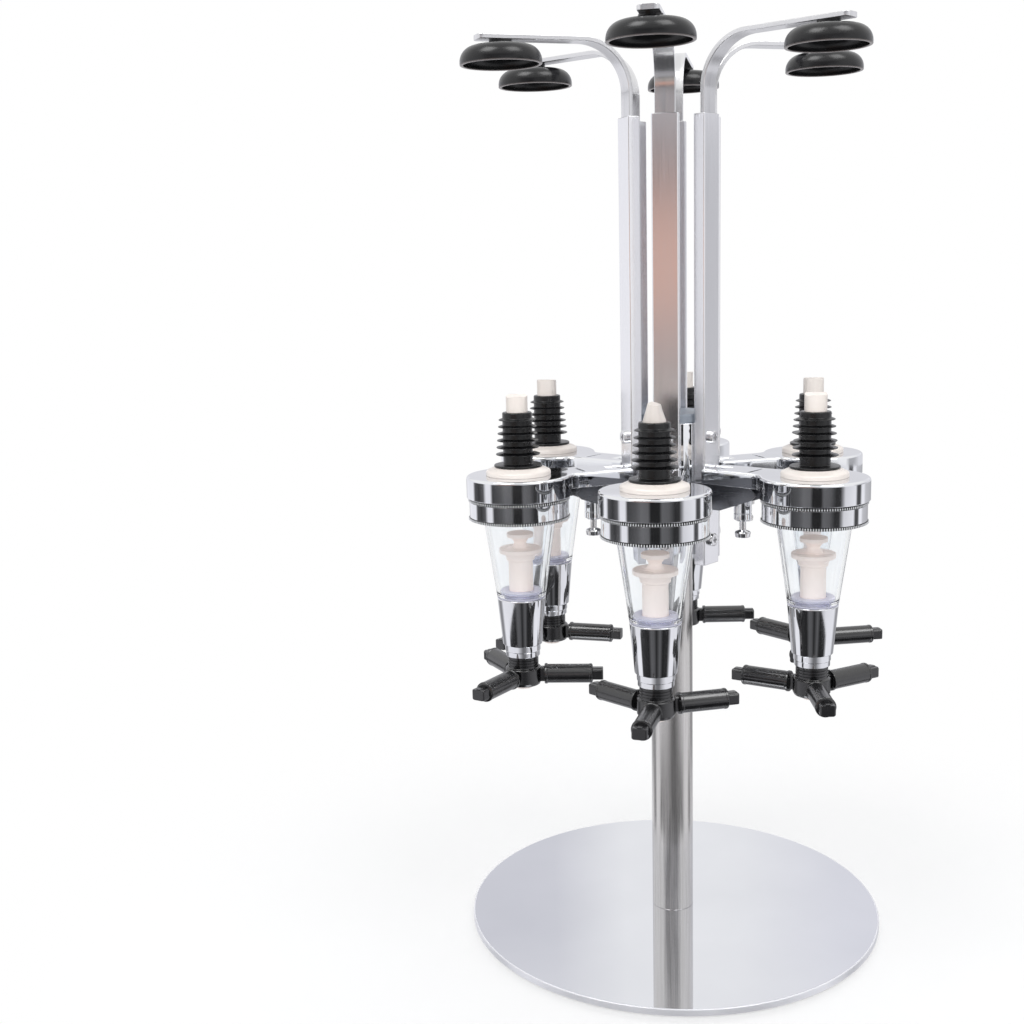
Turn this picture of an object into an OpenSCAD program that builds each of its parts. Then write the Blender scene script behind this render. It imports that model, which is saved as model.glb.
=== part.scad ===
// Rotary liquor dispenser: six upside-down bottles on a turning stand.
// Origin at the middle of the base's underside, +Z up, first station facing -Y.

/* [Base] */
// Diameter of the mirror base plate
base_d = 250; // [220:1:300]
// Thickness of the base plate
base_t = 4; // [4:0.5:8]
// Rounding of the plate's edge
base_edge_r = 1.5; // [0.5:0.1:1.9]
// Thickness of the non-slip pad under the plate
pad_t = 1; // [0.5:0.5:3]
// How far the pad lies inside the plate's edge
pad_inset = 6; // [2:1:30]

/* [Pole] */
// Outside diameter of the pole
pole_d = 25; // [22:0.5:27]
// Wall of the pole's tube
pole_wall = 1.5; // [1:0.1:2.5]
// Diameter of the tie rod inside the pole
rod_d = 6; // [5:0.5:7]
// Diameter of the tie rod's countersunk head
rod_head_d = 12; // [10:0.5:12.5]
// Length of the pivot plug inside the pole
plug_len = 20; // [10:1:40]
// Diameter of the stub that the carousel turns on
stub_d = 10; // [8:0.5:12]

/* [Hub] */
// Height of the brackets' top face above the table
deck_z = 275; // [240:1:320]
// Hub size across its flats
hub_af = 42.4; // [40:0.2:50]
// How far the hub reaches below the brackets' top face
hub_below = 43; // [40:1:48]
// How far the hub reaches above the brackets' top face
hub_above = 34; // [24:1:40]
// Thickness of the cap on the hub
cap_t = 5; // [3:0.5:10]
// Wall of the bushes between hub and pole
bush_wall = 2; // [1:0.1:2.5]
// Length of the lower bush
bush_len = 12; // [6:1:20]

/* [Uprights] */
// Width of an upright's tube
upright_w = 15; // [13:0.5:18]
// Depth of an upright's tube
upright_d = 7.4; // [6.6:0.2:10]
// Wall of an upright's tube
upright_wall = 1.2; // [0.8:0.1:1.5]
// Length of an upright
upright_len = 254; // [220:1:300]
// How far an upright reaches below the brackets' top face
upright_below = 49; // [44:1:60]
// Diameter of the upright's screws
screw_d = 4; // [3:0.5:4.5]
// Diameter of a screw's head
screw_head_d = 7.6; // [6:0.2:9]
// Distance of the screws from the ends of the hub
screw_inset = 8.5; // [6:0.5:12]

/* [Lift arms] */
// Width of a lift arm's flat bar
bar_w = 11.4; // [9:0.2:12]
// Thickness of a lift arm's flat bar
bar_t = 2.7; // [2:0.1:3]
// Height of the bar's top above the uprights' top
bar_rise = 42; // [36:1:80]
// Inside radius of the bar's bend
bend_r = 26; // [12:1:30]
// How far the bar reaches past the middle of its cup
bar_past = 14; // [9:0.5:18]
// How far a lift arm can be raised
arm_travel = 110; // [60:1:130]

/* [Cups] */
// Distance of the cups from the pole's axis
cup_reach = 99; // [94:0.5:104]
// Diameter of a cup at its widest
cup_d = 44.6; // [36:0.2:56]
// Height of a cup without its boss
cup_h = 10; // [8:0.5:16]
// Wall of a cup
cup_wall = 1.8; // [1:0.1:2.6]
// Diameter of the boss on a cup
cup_boss_d = 15.6; // [12:0.2:20]
// Height of the boss, from the cup to the bar
cup_boss_h = 2.8; // [2:0.2:6]
// Diameter of the stud that holds a cup in its bar
cup_stud_d = 5; // [3:0.5:6]

/* [Brackets] */
// Sheet thickness of a bracket
sheet_t = 1.5; // [1:0.1:2]
// Height of a bracket's side walls
bracket_h = 15; // [13:0.5:18]
// Distance of a bracket's tip from the axis of its measure
bracket_reach = 31.4; // [29.9:0.5:34.4]
// Diameter of a bracket's blind rivets
rivet_d = 4; // [3:0.5:4.5]

/* [Plungers] */
// Distance of a plunger from the axis of its measure
plunger_reach = 45.4; // [44.4:0.5:48.4]
// Diameter of a plunger's housing
housing_d = 10.2; // [9.6:0.2:12]
// How far a housing hangs below the brackets' top face
housing_below = 20.3; // [18:0.1:22]
// Diameter of a plunger's pin
pin_d = 4.3; // [3.4:0.1:4.4]
// How far the pin reaches into its holder
pin_bite = 4; // [2:0.5:4.5]
// Diameter of the pull button
button_d = 9.2; // [7:0.2:12]
// How far a plunger can be pulled
plunger_travel = 5; // [4.5:0.5:6]

/* [Measures] */
// Distance of the measures from the pole's axis
measure_r = 95; // [94:0.5:99]
// Thickness of a holder's neck
neck_h = 8.5; // [8:0.5:12]
// Width of a holder's neck
neck_w = 24; // [20:0.5:28]
// Outside diameter of a holder's ring
holder_d = 59.6; // [57:0.2:63]
// Height of a holder's ring
holder_h = 12.5; // [11:0.5:15]
// Radius of the fillets between neck and ring
neck_fillet_r = 10; // [6:1:14]
// Diameter of the knurled ring nut
nut_d = 58; // [56:0.2:61]
// Height of the ring nut
nut_h = 12.5; // [9:0.5:14]
// Outside diameter of a chamber under the ring nut
chamber_d = 42; // [38:0.5:44]
// Outside diameter of a chamber at its lower end
chamber_low_d = 28; // [25:0.5:30]
// Length of a chamber's cone below the ring nut's lip
chamber_len = 48.6; // [46:0.2:60]
// Wall of a chamber
chamber_wall = 2; // [1.5:0.1:2.4]
// Thickness of a chamber's flange
flange_t = 2; // [1.5:0.1:3]
// Thickness of a chamber's seal
seal_t = 1.2; // [0.8:0.1:2]
// Length of a nozzle's sleeve
sleeve_len = 28; // [25:0.1:34]
// Outside diameter of a nozzle's sleeve at its lower end
sleeve_low_d = 22.8; // [22.6:0.1:24.4]
// Height of a nozzle's gland ring
gland_h = 7; // [4:0.2:9]

/* [Bungs and inlets] */
// Diameter of the ivory collar under a bung
collar_d = 36.8; // [32:0.2:42]
// Height of the ivory collar
collar_h = 4.6; // [3:0.2:8]
// Height of a bung
bung_h = 31; // [27:0.2:34]
// Diameter of a bung's core
bung_core_d = 16.8; // [13:0.2:17.4]
// Diameter of a bung's base flange
bung_base_d = 27.4; // [24:0.2:30]
// Diameter of a bung's highest rib
rib_top_d = 21; // [18.6:0.2:23]
// Diameter of a bung's lowest rib
rib_low_d = 25; // [23.5:0.2:27]
// Diameter of the inlet's slanted tip
tip_d = 12.2; // [11:0.2:13]
// Height of the inlet's slanted tip
tip_h = 10; // [7:0.2:15]
// Bore of the inlet tube
inlet_bore_d = 5.2; // [4:0.2:6]

/* [Valves and triggers] */
// Diameter of a valve's stem
stem_d = 14; // [12:0.2:15]
// Diameter of a valve's disc
disc_d = 24.4; // [20:0.2:26]
// Height of the disc above the chamber's floor
disc_above = 24; // [20:0.5:26]
// Diameter of a valve's outlet tube
outlet_d = 10; // [9:0.2:11]
// Diameter of a trigger's hub
trigger_hub_d = 17.9; // [17:0.1:18]
// Height of a trigger's hub below the gland ring
trigger_hub_h = 17.4; // [16.8:0.1:24]
// Distance of a trigger's tip from its axis
trigger_len = 46.5; // [42:0.1:48.5]
// Width of a trigger's arm
trigger_arm_w = 8.4; // [6:0.2:8.6]
// Height of a trigger's arm
trigger_arm_h = 6; // [4:0.1:6.2]
// Diameter of a rubber grip
grip_d = 11; // [10.8:0.1:12.5]
// Length of a trigger's bare tip beyond its grip
trigger_tip_len = 6; // [4:0.5:9]
// How far a trigger can be pushed up
trigger_travel = 5; // [3:0.5:5]

/* [Hidden] */
$fn = 64;
station_n = 6;
// How far each trigger is turned from pointing outwards
trigger_turns = [-5, 70, -10, 40, 85, 38];
// How far each slanted tip is turned
tip_turns = [85, -55, 65, 30, -60, 65];

// Clearances
run_gap = 0.05;
slide_gap = 0.3;
fit_gap = 0.05;
// Points on a rounded edge
edge_steps = 4;

base_r = base_d / 2;
base_top_z = pad_t + base_t;
pole_r = pole_d / 2;
pole_in_r = pole_r - pole_wall;
rod_r = rod_d / 2;
rod_head_r = rod_head_d / 2;
rod_sink = 0.2;
rod_end_gap = 4;
stub_r = stub_d / 2;
plug_flange_t = 3;

hub_flat = hub_af / 2;
hub_land = 1.8;
hub_z0 = deck_z - hub_below;
hub_z1 = deck_z + hub_above;
hub_web_t = 5;
hub_web_z = hub_z1 - hub_web_t;
hub_bore_r = pole_r + bush_wall;
bush_flange_w = 2.5;
bush_flange_t = 1.5;
thrust_t = 2;
thrust_z0 = hub_web_z - thrust_t;
web_hole_r = stub_r + bush_wall;
stub_end_gap = 3;
plug_z1 = thrust_z0;
pole_z1 = plug_z1 - plug_flange_t;
cap_inset = 0.6;
cap_edge = 0.8;

upright_face = hub_flat + upright_d;
upright_z0 = deck_z - upright_below;
upright_z1 = upright_z0 + upright_len;
cavity_w = upright_w - 2 * upright_wall;
screw_r = screw_d / 2;
screw_bite = 4;
screw_head_h = 2.4;
screw_slot_w = 1.1;
screw_slot_depth = 1.2;
screw_zs = [hub_z0 + screw_inset, hub_z1 - screw_inset];

bar_out_x = upright_face - upright_wall - slide_gap;
bar_top_z = upright_z1 + bar_rise;
bar_low_z = bar_top_z - bar_t;
bar_foot_z = screw_zs[1] + screw_r + slide_gap;
bar_tip_x = cup_reach + bar_past;
foot_t = upright_d - 2 * upright_wall - 2 * slide_gap;
foot_h = 12;
ledge_z = bar_foot_z + foot_h + arm_travel + slide_gap;
ledge_t = upright_d - 2 * upright_wall - 2 * slide_gap - bar_t;
ledge_w = 8;
ledge_h = 3;
bar_corner_r = 3;
bend_x = bar_out_x + bend_r;
bend_z = bar_low_z - bend_r;

cup_r = cup_d / 2;
cup_top_z = bar_low_z - cup_boss_h;
cup_rim_z = cup_top_z - cup_h;
cup_crown_r = cup_h * 0.82;
cup_top_r = cup_r - cup_crown_r;
cup_boss_r = cup_boss_d / 2;
cup_boss_step = 1.2;
cup_steps = 7;
cup_stud_r = cup_stud_d / 2;

bracket_w = upright_w + 2 * sheet_t;
bracket_back_x = hub_flat + 0.6;
bracket_tip_x = measure_r - bracket_reach;
bracket_top_cut = 6.2;
bracket_tip_drop = 4;
bracket_nose_x = bracket_tip_x - 3.5;
bracket_nose_drop = 7.5;
bracket_knee_x = upright_face + 11;
bracket_hole_d = 2.6;
bracket_hole_drop = 9.6;
bracket_hole_back = 3;
rivet_r = rivet_d / 2;
rivet_x = hub_flat + upright_d / 2;
rivet_z = deck_z - 8;
rivet_head_r = rivet_r + 1.2;
rivet_head_t = 1.2;
rivet_tail = 0.2;

plunger_x = measure_r - plunger_reach;
housing_r = housing_d / 2;
housing_foot = 0.8;
housing_z0 = deck_z - housing_below;
housing_z1 = deck_z - sheet_t;
housing_floor = 1.5;
pin_r = pin_d / 2;
pin_collar_r = housing_r - 1.3;
pin_collar_t = 2;
pin_collar_z1 = housing_z1 - slide_gap;
pin_collar_z0 = pin_collar_z1 - pin_collar_t;
button_r = button_d / 2;
button_t = 1.6;
button_cone = 1.6;
button_gap = plunger_travel + 2;
button_z1 = housing_z0 - button_gap;

holder_top_z = deck_z + neck_h;
holder_r = holder_d / 2;
holder_z0 = holder_top_z - holder_h;
holder_plate_t = 4;
holder_edge_r = 1.5;
holder_root_x = upright_face + slide_gap;
skirt_r = 26;
skirt_in_r = chamber_d / 2 + 1.2;
neck_fillet_y = neck_w / 2 + neck_fillet_r;
neck_fillet_dx = sqrt(pow(holder_r + neck_fillet_r, 2) - pow(neck_fillet_y, 2));
neck_fillet_x = measure_r - neck_fillet_dx;
neck_root_w = neck_w - 2;
pocket_w = 16;
pocket_len = 11;
pocket_roof = 2.4;
pocket_floor = 2;
slot_w = 7;
groove_back = 38.4;
groove_x = measure_r - groove_back;
groove_w = 2;
groove_len = 16;
groove_depth = 1.2;

nut_gap = 0.2;
nut_r = nut_d / 2;
nut_z1 = holder_z0 - nut_gap;
nut_z0 = nut_z1 - nut_h;
nut_lip_t = 2.5;
nut_lip_z1 = nut_z0 + nut_lip_t;
nut_bead_h = 1.8;
nut_band_in = 0.6;

chamber_r = chamber_d / 2;
chamber_low_r = chamber_low_d / 2;
chamber_z0 = nut_lip_z1 - chamber_len;
chamber_floor = 2.5;
flange_r = skirt_r - slide_gap;
flange_z1 = nut_lip_z1 + flange_t;
skirt_z0 = flange_z1 + seal_t;
stem_r = stem_d / 2;
stem_hole_r = stem_r + slide_gap;
spigot_r = stem_hole_r + 2.6;
spigot_len = 10.2;
spigot_z0 = chamber_z0 - spigot_len;

sleeve_z0 = chamber_z0 - sleeve_len;
sleeve_low_r = sleeve_low_d / 2;
sleeve_wall = 1.5;
sleeve_bore_r = sleeve_low_r - sleeve_wall;
sleeve_step_z = spigot_z0 - 0.5;
gland_r = sleeve_low_r - 1.1;
gland_z0 = sleeve_z0 - gland_h;
gland_rise = 4.5;
gland_groove = 0.4;
gland_bore_r = trigger_hub_d / 2 + slide_gap;

stop_z0 = sleeve_z0 + gland_rise + slide_gap;
stop_t = 1.8;
stop_r = sleeve_bore_r - slide_gap;
disc_r = disc_d / 2;
disc_t = 2.5;
disc_z0 = chamber_z0 + chamber_floor + disc_above;
disc_cone_h = 3;
valve_neck_r = 3.2;
plug_disc_r = 7.6;
plug_disc_t = 2.4;
inlet_seat_gap = 0.5;
inlet_seat_z = nut_lip_z1 - 5.3;
plug_disc_z1 = inlet_seat_z - inlet_seat_gap - trigger_travel;
outlet_r = outlet_d / 2;
outlet_bore_r = outlet_r - 1.8;
outlet_drop = 2.2;
port_r = 1.6;
port_z = chamber_z0 + chamber_floor + port_r + slide_gap - trigger_travel;
stem_bore_z1 = port_z + port_r + 1;

trigger_hub_r = trigger_hub_d / 2;
trigger_z0 = gland_z0 - trigger_hub_h;
trigger_z1 = stop_z0 - slide_gap;
trigger_arm_z = trigger_z0 + 5.7;
trigger_neck_w = 5;
trigger_neck_h = 8.6;
trigger_foot_r = trigger_hub_r + 1.45;
trigger_foot_h = trigger_hub_h - trigger_travel - 1.8;
grip_x1 = trigger_len - trigger_tip_len;
grip_x0 = trigger_foot_r + 2;
grip_len = grip_x1 - grip_x0;
grip_rim = 0.5;
grip_rim_t = 1.5;
outlet_z0 = trigger_z0 - outlet_drop;

collar_r = collar_d / 2;
collar_edge_r = 1.4;
collar_rim_z = holder_top_z + collar_h * 0.55;
collar_z1 = holder_top_z + collar_h;
inlet_spigot_r = 14;
inlet_seat_r = 8.4;
inlet_cone_z = inlet_seat_z + 4;
inlet_tube_r = 5;
inlet_bore_r = inlet_bore_d / 2;
bung_z1 = collar_z1 + bung_h;
bung_core_r = bung_core_d / 2;
bung_base_t = 1.6;
rib_n = 6;
rib_t = 1;
rib_edge_t = 0.5;
rib_droop = 0.5;
rib_top_gap = 3.8;
rib_pitch = 3.9;
tip_r = tip_d / 2;
tip_edge_w = 7.2;
tip_slant = 1.4;
tip_foot = 0.7;

// Springs: mean radius, wire radius, turns
spring_sides = 6;
spring_rings = 8;
arm_spring_r = 1.35;
arm_spring_wire = 0.3;
arm_spring_turns = 7;
arm_spring_y = screw_r + arm_spring_r + 2 * arm_spring_wire;
arm_spring_z0 = screw_zs[0] + screw_r + slide_gap;
plunger_spring_r = pin_r + 0.95;
plunger_spring_wire = 0.35;
plunger_spring_turns = 4;
trigger_spring_r = (stem_r + sleeve_bore_r) / 2;
trigger_spring_wire = 0.55;
trigger_spring_turns = 4;

GROUPS = [
    "base_plate", "base_pad", "pole", "tie_rod", "pivot_plug", "hub", "hub_cap", "hub_bushes",
    "uprights", "upright_screws", "brackets", "bracket_rivets", "holders", "ring_nuts",
    "chamber_seals", "chambers", "inlet_tubes", "bungs", "nozzle_sleeves", "nozzle_rings",
    "trigger_springs", "plunger_housings", "plunger_springs", "arm_springs"
];
MOVERS = ["lift_arm", "cup", "valve", "trigger", "grips", "plunger"];

// Points of an arc about (cx, cy)
function arc(cx, cy, r, a0, a1, n = edge_steps) =
    [for (i = [0:n]) let (a = a0 + (a1 - a0) * i / n) [cx + r * cos(a), cy + r * sin(a)]];

// Turns its children to station k, counted from 0; there +X points outwards
module station(k) {
    rotate([0, 0, k * 360 / station_n - 90]) children();
}

module each_station() {
    for (k = [0:station_n - 1]) station(k) children();
}

// Moves its children onto the axis of a measure
module at_measure() {
    translate([measure_r, 0, 0]) children();
}

// Moves its children onto the axis of a cup
module at_cup() {
    translate([cup_reach, 0, 0]) children();
}

// A body turned about Z from points given as radius and height
module turned(points) {
    rotate_extrude() polygon(points);
}

// A tube turned about Z
module tube(r_out, r_in, z0, z1) {
    turned([[r_in, z0], [r_out, z0], [r_out, z1], [r_in, z1]]);
}

// Centre line of a coil about Z
function coil_path(r, z0, z1, turns) =
    let (n = turns * spring_rings)
    [for (i = [0:n]) let (a = 360 * i / spring_rings) [r * cos(a), r * sin(a), z0 + (z1 - z0) * i / n]];

// Least distance between stretches of a coil more than half a turn apart
function coil_gap(path, wire) =
    let (last = len(path) - 1)
    min([for (i = [0:last]) for (j = [i + spring_rings / 2:1:last]) norm(path[i] - path[j])])
    - 2 * wire;

// A spring of round wire between two heights, its ring points in radial planes
module coil(r, wire, z0, z1, turns) {
    path = coil_path(r, z0 + wire, z1 - wire, turns);
    echo(str("least gap of a spring to itself: ", coil_gap(path, wire), " mm"));
    rings = len(path);
    points = [for (p = path) for (s = [0:spring_sides - 1])
        let (a = 360 * s / spring_sides, q = (r + wire * cos(a)) / r)
        [p[0] * q, p[1] * q, p[2] + wire * sin(a)]];
    side_faces = [for (i = [0:rings - 2]) for (s = [0:spring_sides - 1])
        let (t = (s + 1) % spring_sides, a = i * spring_sides, b = a + spring_sides)
        each [[a + s, a + t, b + t], [a + s, b + t, b + s]]];
    last = (rings - 1) * spring_sides;
    caps = [for (s = [1:spring_sides - 2]) each [[0, s + 1, s], [last, last + s, last + s + 1]]];
    polyhedron([for (p = points) p], concat(side_faces, caps));
}

// Stand

module base_plate() {
    hole_r = rod_r + slide_gap;
    sink_r = rod_head_r + slide_gap;
    color("lightgray") turned(concat(
        [[sink_r, pad_t]],
        arc(base_r - base_edge_r, pad_t + base_edge_r, base_edge_r, -90, 0),
        arc(base_r - base_edge_r, base_top_z - base_edge_r, base_edge_r, 0, 90),
        [[hole_r, base_top_z], [hole_r, pad_t + sink_r - hole_r]]
    ));
}

module base_pad() {
    color("dimgray") cylinder(r = base_r - pad_inset, h = pad_t);
}

module pole() {
    color("silver") tube(pole_r, pole_in_r, base_top_z, pole_z1);
}

module tie_rod() {
    z0 = pad_t + rod_sink;
    color("darkgray") turned([
        [0, z0], [rod_head_r, z0], [rod_r, z0 + rod_head_r - rod_r],
        [rod_r, pole_z1 - rod_end_gap], [0, pole_z1 - rod_end_gap]
    ]);
}

module pivot_plug() {
    plug_r = pole_in_r - fit_gap;
    hole_r = rod_r + fit_gap;
    plug_z0 = pole_z1 - plug_len;
    hole_z1 = pole_z1 - rod_end_gap + 1;
    color("gray") turned([
        [hole_r, plug_z0], [plug_r, plug_z0], [plug_r, pole_z1], [pole_r, pole_z1], [pole_r, plug_z1],
        [stub_r, plug_z1], [stub_r, hub_z1 - stub_end_gap], [0, hub_z1 - stub_end_gap], [0, hole_z1],
        [hole_r, hole_z1]
    ]);
}

// Hub

module hub() {
    corner_r = hub_flat + hub_land;
    color("gainsboro") difference() {
        intersection() {
            translate([0, 0, hub_z0]) cylinder(r = hub_flat / cos(30), h = hub_z1 - hub_z0, $fn = 6);
            translate([0, 0, hub_z0]) cylinder(r = corner_r, h = hub_z1 - hub_z0);
        }
        translate([0, 0, hub_z0 - 1]) cylinder(r = hub_bore_r, h = hub_web_z - hub_z0 + 1);
        translate([0, 0, hub_web_z - 1]) cylinder(r = web_hole_r, h = hub_web_t + 2);
        each_station() for (z = screw_zs)
            translate([hub_flat - screw_bite - fit_gap, 0, z]) rotate([0, 90, 0])
                cylinder(r = screw_r + fit_gap, h = screw_bite + 1);
    }
}

module hub_cap() {
    r = hub_flat - cap_inset;
    spigot = web_hole_r - fit_gap;
    spigot_z = hub_z1 - stub_end_gap + slide_gap;
    color("slategray") turned([
        [0, spigot_z], [spigot, spigot_z], [spigot, hub_z1], [r, hub_z1],
        [r, hub_z1 + cap_t - cap_edge], [r - cap_edge, hub_z1 + cap_t], [0, hub_z1 + cap_t]
    ]);
}

module hub_bushes() {
    in_r = pole_r + run_gap;
    out_r = hub_bore_r - fit_gap;
    flange = hub_bore_r + bush_flange_w;
    color("ivory") {
        turned([
            [in_r, hub_z0 - bush_flange_t], [flange, hub_z0 - bush_flange_t], [flange, hub_z0],
            [out_r, hub_z0], [out_r, hub_z0 + bush_len], [in_r, hub_z0 + bush_len]
        ]);
        turned([
            [stub_r + run_gap, thrust_z0], [pole_r, thrust_z0], [pole_r, hub_web_z],
            [web_hole_r - fit_gap, hub_web_z], [web_hole_r - fit_gap, hub_z1 - stub_end_gap],
            [stub_r + run_gap, hub_z1 - stub_end_gap]
        ]);
    }
}

// Uprights and lift arms

module upright() {
    translate([hub_flat + upright_wall / 2, -ledge_w / 2, ledge_z])
        cube([ledge_t + upright_wall / 2, ledge_w, ledge_h]);
    difference() {
        translate([hub_flat, -upright_w / 2, upright_z0]) cube([upright_d, upright_w, upright_len]);
        translate([hub_flat + upright_wall, -cavity_w / 2, upright_z0 - 1])
            cube([upright_d - 2 * upright_wall, cavity_w, upright_len + 2]);
        for (z = screw_zs)
            translate([hub_flat - 1, 0, z]) rotate([0, 90, 0])
                cylinder(r = screw_r + fit_gap, h = upright_d + 2);
        translate([rivet_x, -upright_w, rivet_z]) rotate([-90, 0, 0])
            cylinder(r = rivet_r + fit_gap, h = 2 * upright_w);
    }
}

module uprights() {
    color("silver") each_station() upright();
}

// A screw along +X with its head's seat at the origin
module upright_screw() {
    head_r = screw_head_d / 2;
    shank = upright_d + screw_bite;
    difference() {
        rotate([0, 90, 0]) turned(concat(
            [[0, -shank], [screw_r, -shank], [screw_r, 0], [head_r, 0]],
            [[head_r, screw_head_h * 0.45], [head_r * 0.72, screw_head_h * 0.86], [0, screw_head_h]]
        ));
        for (turn = [0, 90])
            translate([screw_head_h - screw_slot_depth, 0, 0]) rotate([turn, 0, 0])
                translate([0, -head_r * 0.6, -screw_slot_w / 2])
                    cube([screw_slot_depth + 1, head_r * 1.2, screw_slot_w]);
    }
}

module upright_screws() {
    color("silver") each_station() for (z = screw_zs) translate([upright_face, 0, z]) upright_screw();
}

// A strip along +X from the origin whose far corners are rounded
module rounded_end(length, width, corner) {
    inner = width / 2 - corner;
    translate([0, -width / 2]) square([length - corner, width]);
    translate([0, -inner]) square([length, 2 * inner]);
    for (side = [-1, 1]) translate([length - corner, side * inner]) circle(corner);
}

module lift_arm() {
    difference() {
        union() {
            translate([bar_out_x - bar_t, -bar_w / 2, bar_foot_z]) cube([bar_t, bar_w, bend_z - bar_foot_z]);
            translate([bar_out_x - foot_t, -bar_w / 2, bar_foot_z]) cube([foot_t, bar_w, foot_h]);
            translate([bend_x, 0, bend_z]) rotate([90, 0, 0]) rotate([0, 0, 90])
                rotate_extrude(angle = 90) translate([bend_r, -bar_w / 2]) square([bar_t, bar_w]);
            translate([bend_x, 0, bar_low_z]) linear_extrude(bar_t)
                rounded_end(bar_tip_x - bend_x, bar_w, bar_corner_r);
        }
        at_cup() translate([0, 0, bar_low_z - 1]) cylinder(r = cup_stud_r + fit_gap, h = bar_t + 2);
    }
}

module cup() {
    rim_in_r = cup_r - cup_wall;
    side_z = cup_top_z - cup_crown_r;
    crown = arc(cup_top_r, side_z, cup_crown_r, 0, 90, cup_steps);
    hollow = arc(cup_top_r, side_z, cup_crown_r - cup_wall, 90, 0, cup_steps);
    color("dimgray") at_cup() turned(concat(
        [[rim_in_r - 0.3, cup_rim_z], [cup_r - 0.3, cup_rim_z]],
        crown,
        [
            [cup_boss_r, cup_top_z], [cup_boss_r, cup_top_z + cup_boss_step],
            [cup_boss_r - 1.6, cup_top_z + cup_boss_step], [cup_boss_r - 1.6, bar_low_z],
            [cup_stud_r, bar_low_z], [cup_stud_r, bar_top_z], [0, bar_top_z], [0, cup_top_z - cup_wall]
        ],
        hollow
    ));
}

// Brackets and plungers

module bracket_wall() {
    rotate([90, 0, 0]) linear_extrude(sheet_t) difference() {
        polygon([
            [bracket_back_x, deck_z - bracket_h], [bracket_back_x, deck_z],
            [bracket_tip_x - bracket_top_cut, deck_z], [bracket_tip_x, deck_z - bracket_tip_drop],
            [bracket_nose_x, deck_z - bracket_nose_drop], [bracket_knee_x, deck_z - bracket_h]
        ]);
        translate([rivet_x, rivet_z]) circle(rivet_r + fit_gap);
        translate([plunger_x - bracket_hole_back, deck_z - bracket_hole_drop]) circle(d = bracket_hole_d);
    }
}

module bracket() {
    plate_len = bracket_tip_x - bracket_top_cut - upright_face;
    translate([0, upright_w / 2 + sheet_t, 0]) bracket_wall();
    translate([0, -upright_w / 2, 0]) bracket_wall();
    difference() {
        translate([upright_face, -bracket_w / 2, deck_z - sheet_t]) cube([plate_len, bracket_w, sheet_t]);
        translate([plunger_x, 0, deck_z - sheet_t - 1]) cylinder(r = pin_r + slide_gap, h = sheet_t + 2);
    }
}

module brackets() {
    color("dimgray") each_station() bracket();
}

// A blind rivet through a bracket's wall and the side of its upright
module bracket_rivet() {
    half = bracket_w / 2;
    tail_z = cavity_w / 2 - rivet_tail;
    rotate([-90, 0, 0]) turned([
        [0, tail_z], [rivet_r, tail_z], [rivet_r, half], [rivet_head_r, half],
        [rivet_head_r * 0.6, half + rivet_head_t], [0, half + rivet_head_t]
    ]);
}

module bracket_rivets() {
    color("silver") each_station() translate([rivet_x, 0, rivet_z])
        for (turn = [0, 180]) rotate([0, 0, turn]) bracket_rivet();
}

module plunger_housing() {
    hole_r = pin_r + slide_gap;
    bore_r = pin_collar_r + slide_gap;
    turned([
        [hole_r, housing_z0 - housing_foot], [housing_r - 1.5, housing_z0 - housing_foot],
        [housing_r - 1.3, housing_z0], [housing_r, housing_z0],
        [housing_r, housing_z1], [bore_r, housing_z1],
        [bore_r, housing_z0 + housing_floor], [hole_r, housing_z0 + housing_floor]
    ]);
}

module plunger_housings() {
    color("gainsboro") each_station() translate([plunger_x, 0, 0]) plunger_housing();
}

module plunger() {
    pin_z1 = deck_z + pin_bite;
    color("gainsboro") translate([plunger_x, 0, 0]) turned([
        [0, button_z1 - button_t - button_cone], [button_r - 0.6, button_z1 - button_t - button_cone],
        [button_r, button_z1 - button_cone - button_t / 2], [button_r, button_z1 - button_cone],
        [pin_r, button_z1], [pin_r, pin_collar_z0], [pin_collar_r, pin_collar_z0],
        [pin_collar_r, pin_collar_z1], [pin_r, pin_collar_z1], [pin_r, pin_z1 - 0.6],
        [pin_r - 0.6, pin_z1], [0, pin_z1]
    ]);
}

module plunger_springs() {
    color("silver") each_station() translate([plunger_x, 0, 0])
        coil(
            plunger_spring_r, plunger_spring_wire, housing_z0 + housing_floor + fit_gap,
            pin_collar_z0 - fit_gap, plunger_spring_turns
        );
}

module arm_springs() {
    color("silver") each_station() translate([bar_out_x - bar_t / 2, arm_spring_y, 0])
        coil(arm_spring_r, arm_spring_wire, arm_spring_z0, bar_foot_z - fit_gap, arm_spring_turns);
}

// Measures

module holder_neck() {
    half = neck_w / 2;
    root_half = neck_root_w / 2;
    end_x = measure_r - holder_r * 0.8;
    translate([0, 0, deck_z]) linear_extrude(neck_h) difference() {
        polygon([
            [holder_root_x, -root_half], [neck_fillet_x, -half], [neck_fillet_x, -half - neck_fillet_r],
            [end_x, -half - neck_fillet_r], [end_x, half + neck_fillet_r],
            [neck_fillet_x, half + neck_fillet_r], [neck_fillet_x, half], [holder_root_x, root_half]
        ]);
        for (side = [-1, 1]) translate([neck_fillet_x, side * neck_fillet_y]) circle(neck_fillet_r);
        difference() {
            translate([measure_r - holder_r - 1, -holder_r]) square([holder_r, 2 * holder_r]);
            translate([neck_fillet_x - 1, -neck_fillet_y]) square([neck_fillet_dx, 2 * neck_fillet_y]);
        }
        translate([measure_r, 0]) circle(skirt_r);
    }
}

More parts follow.
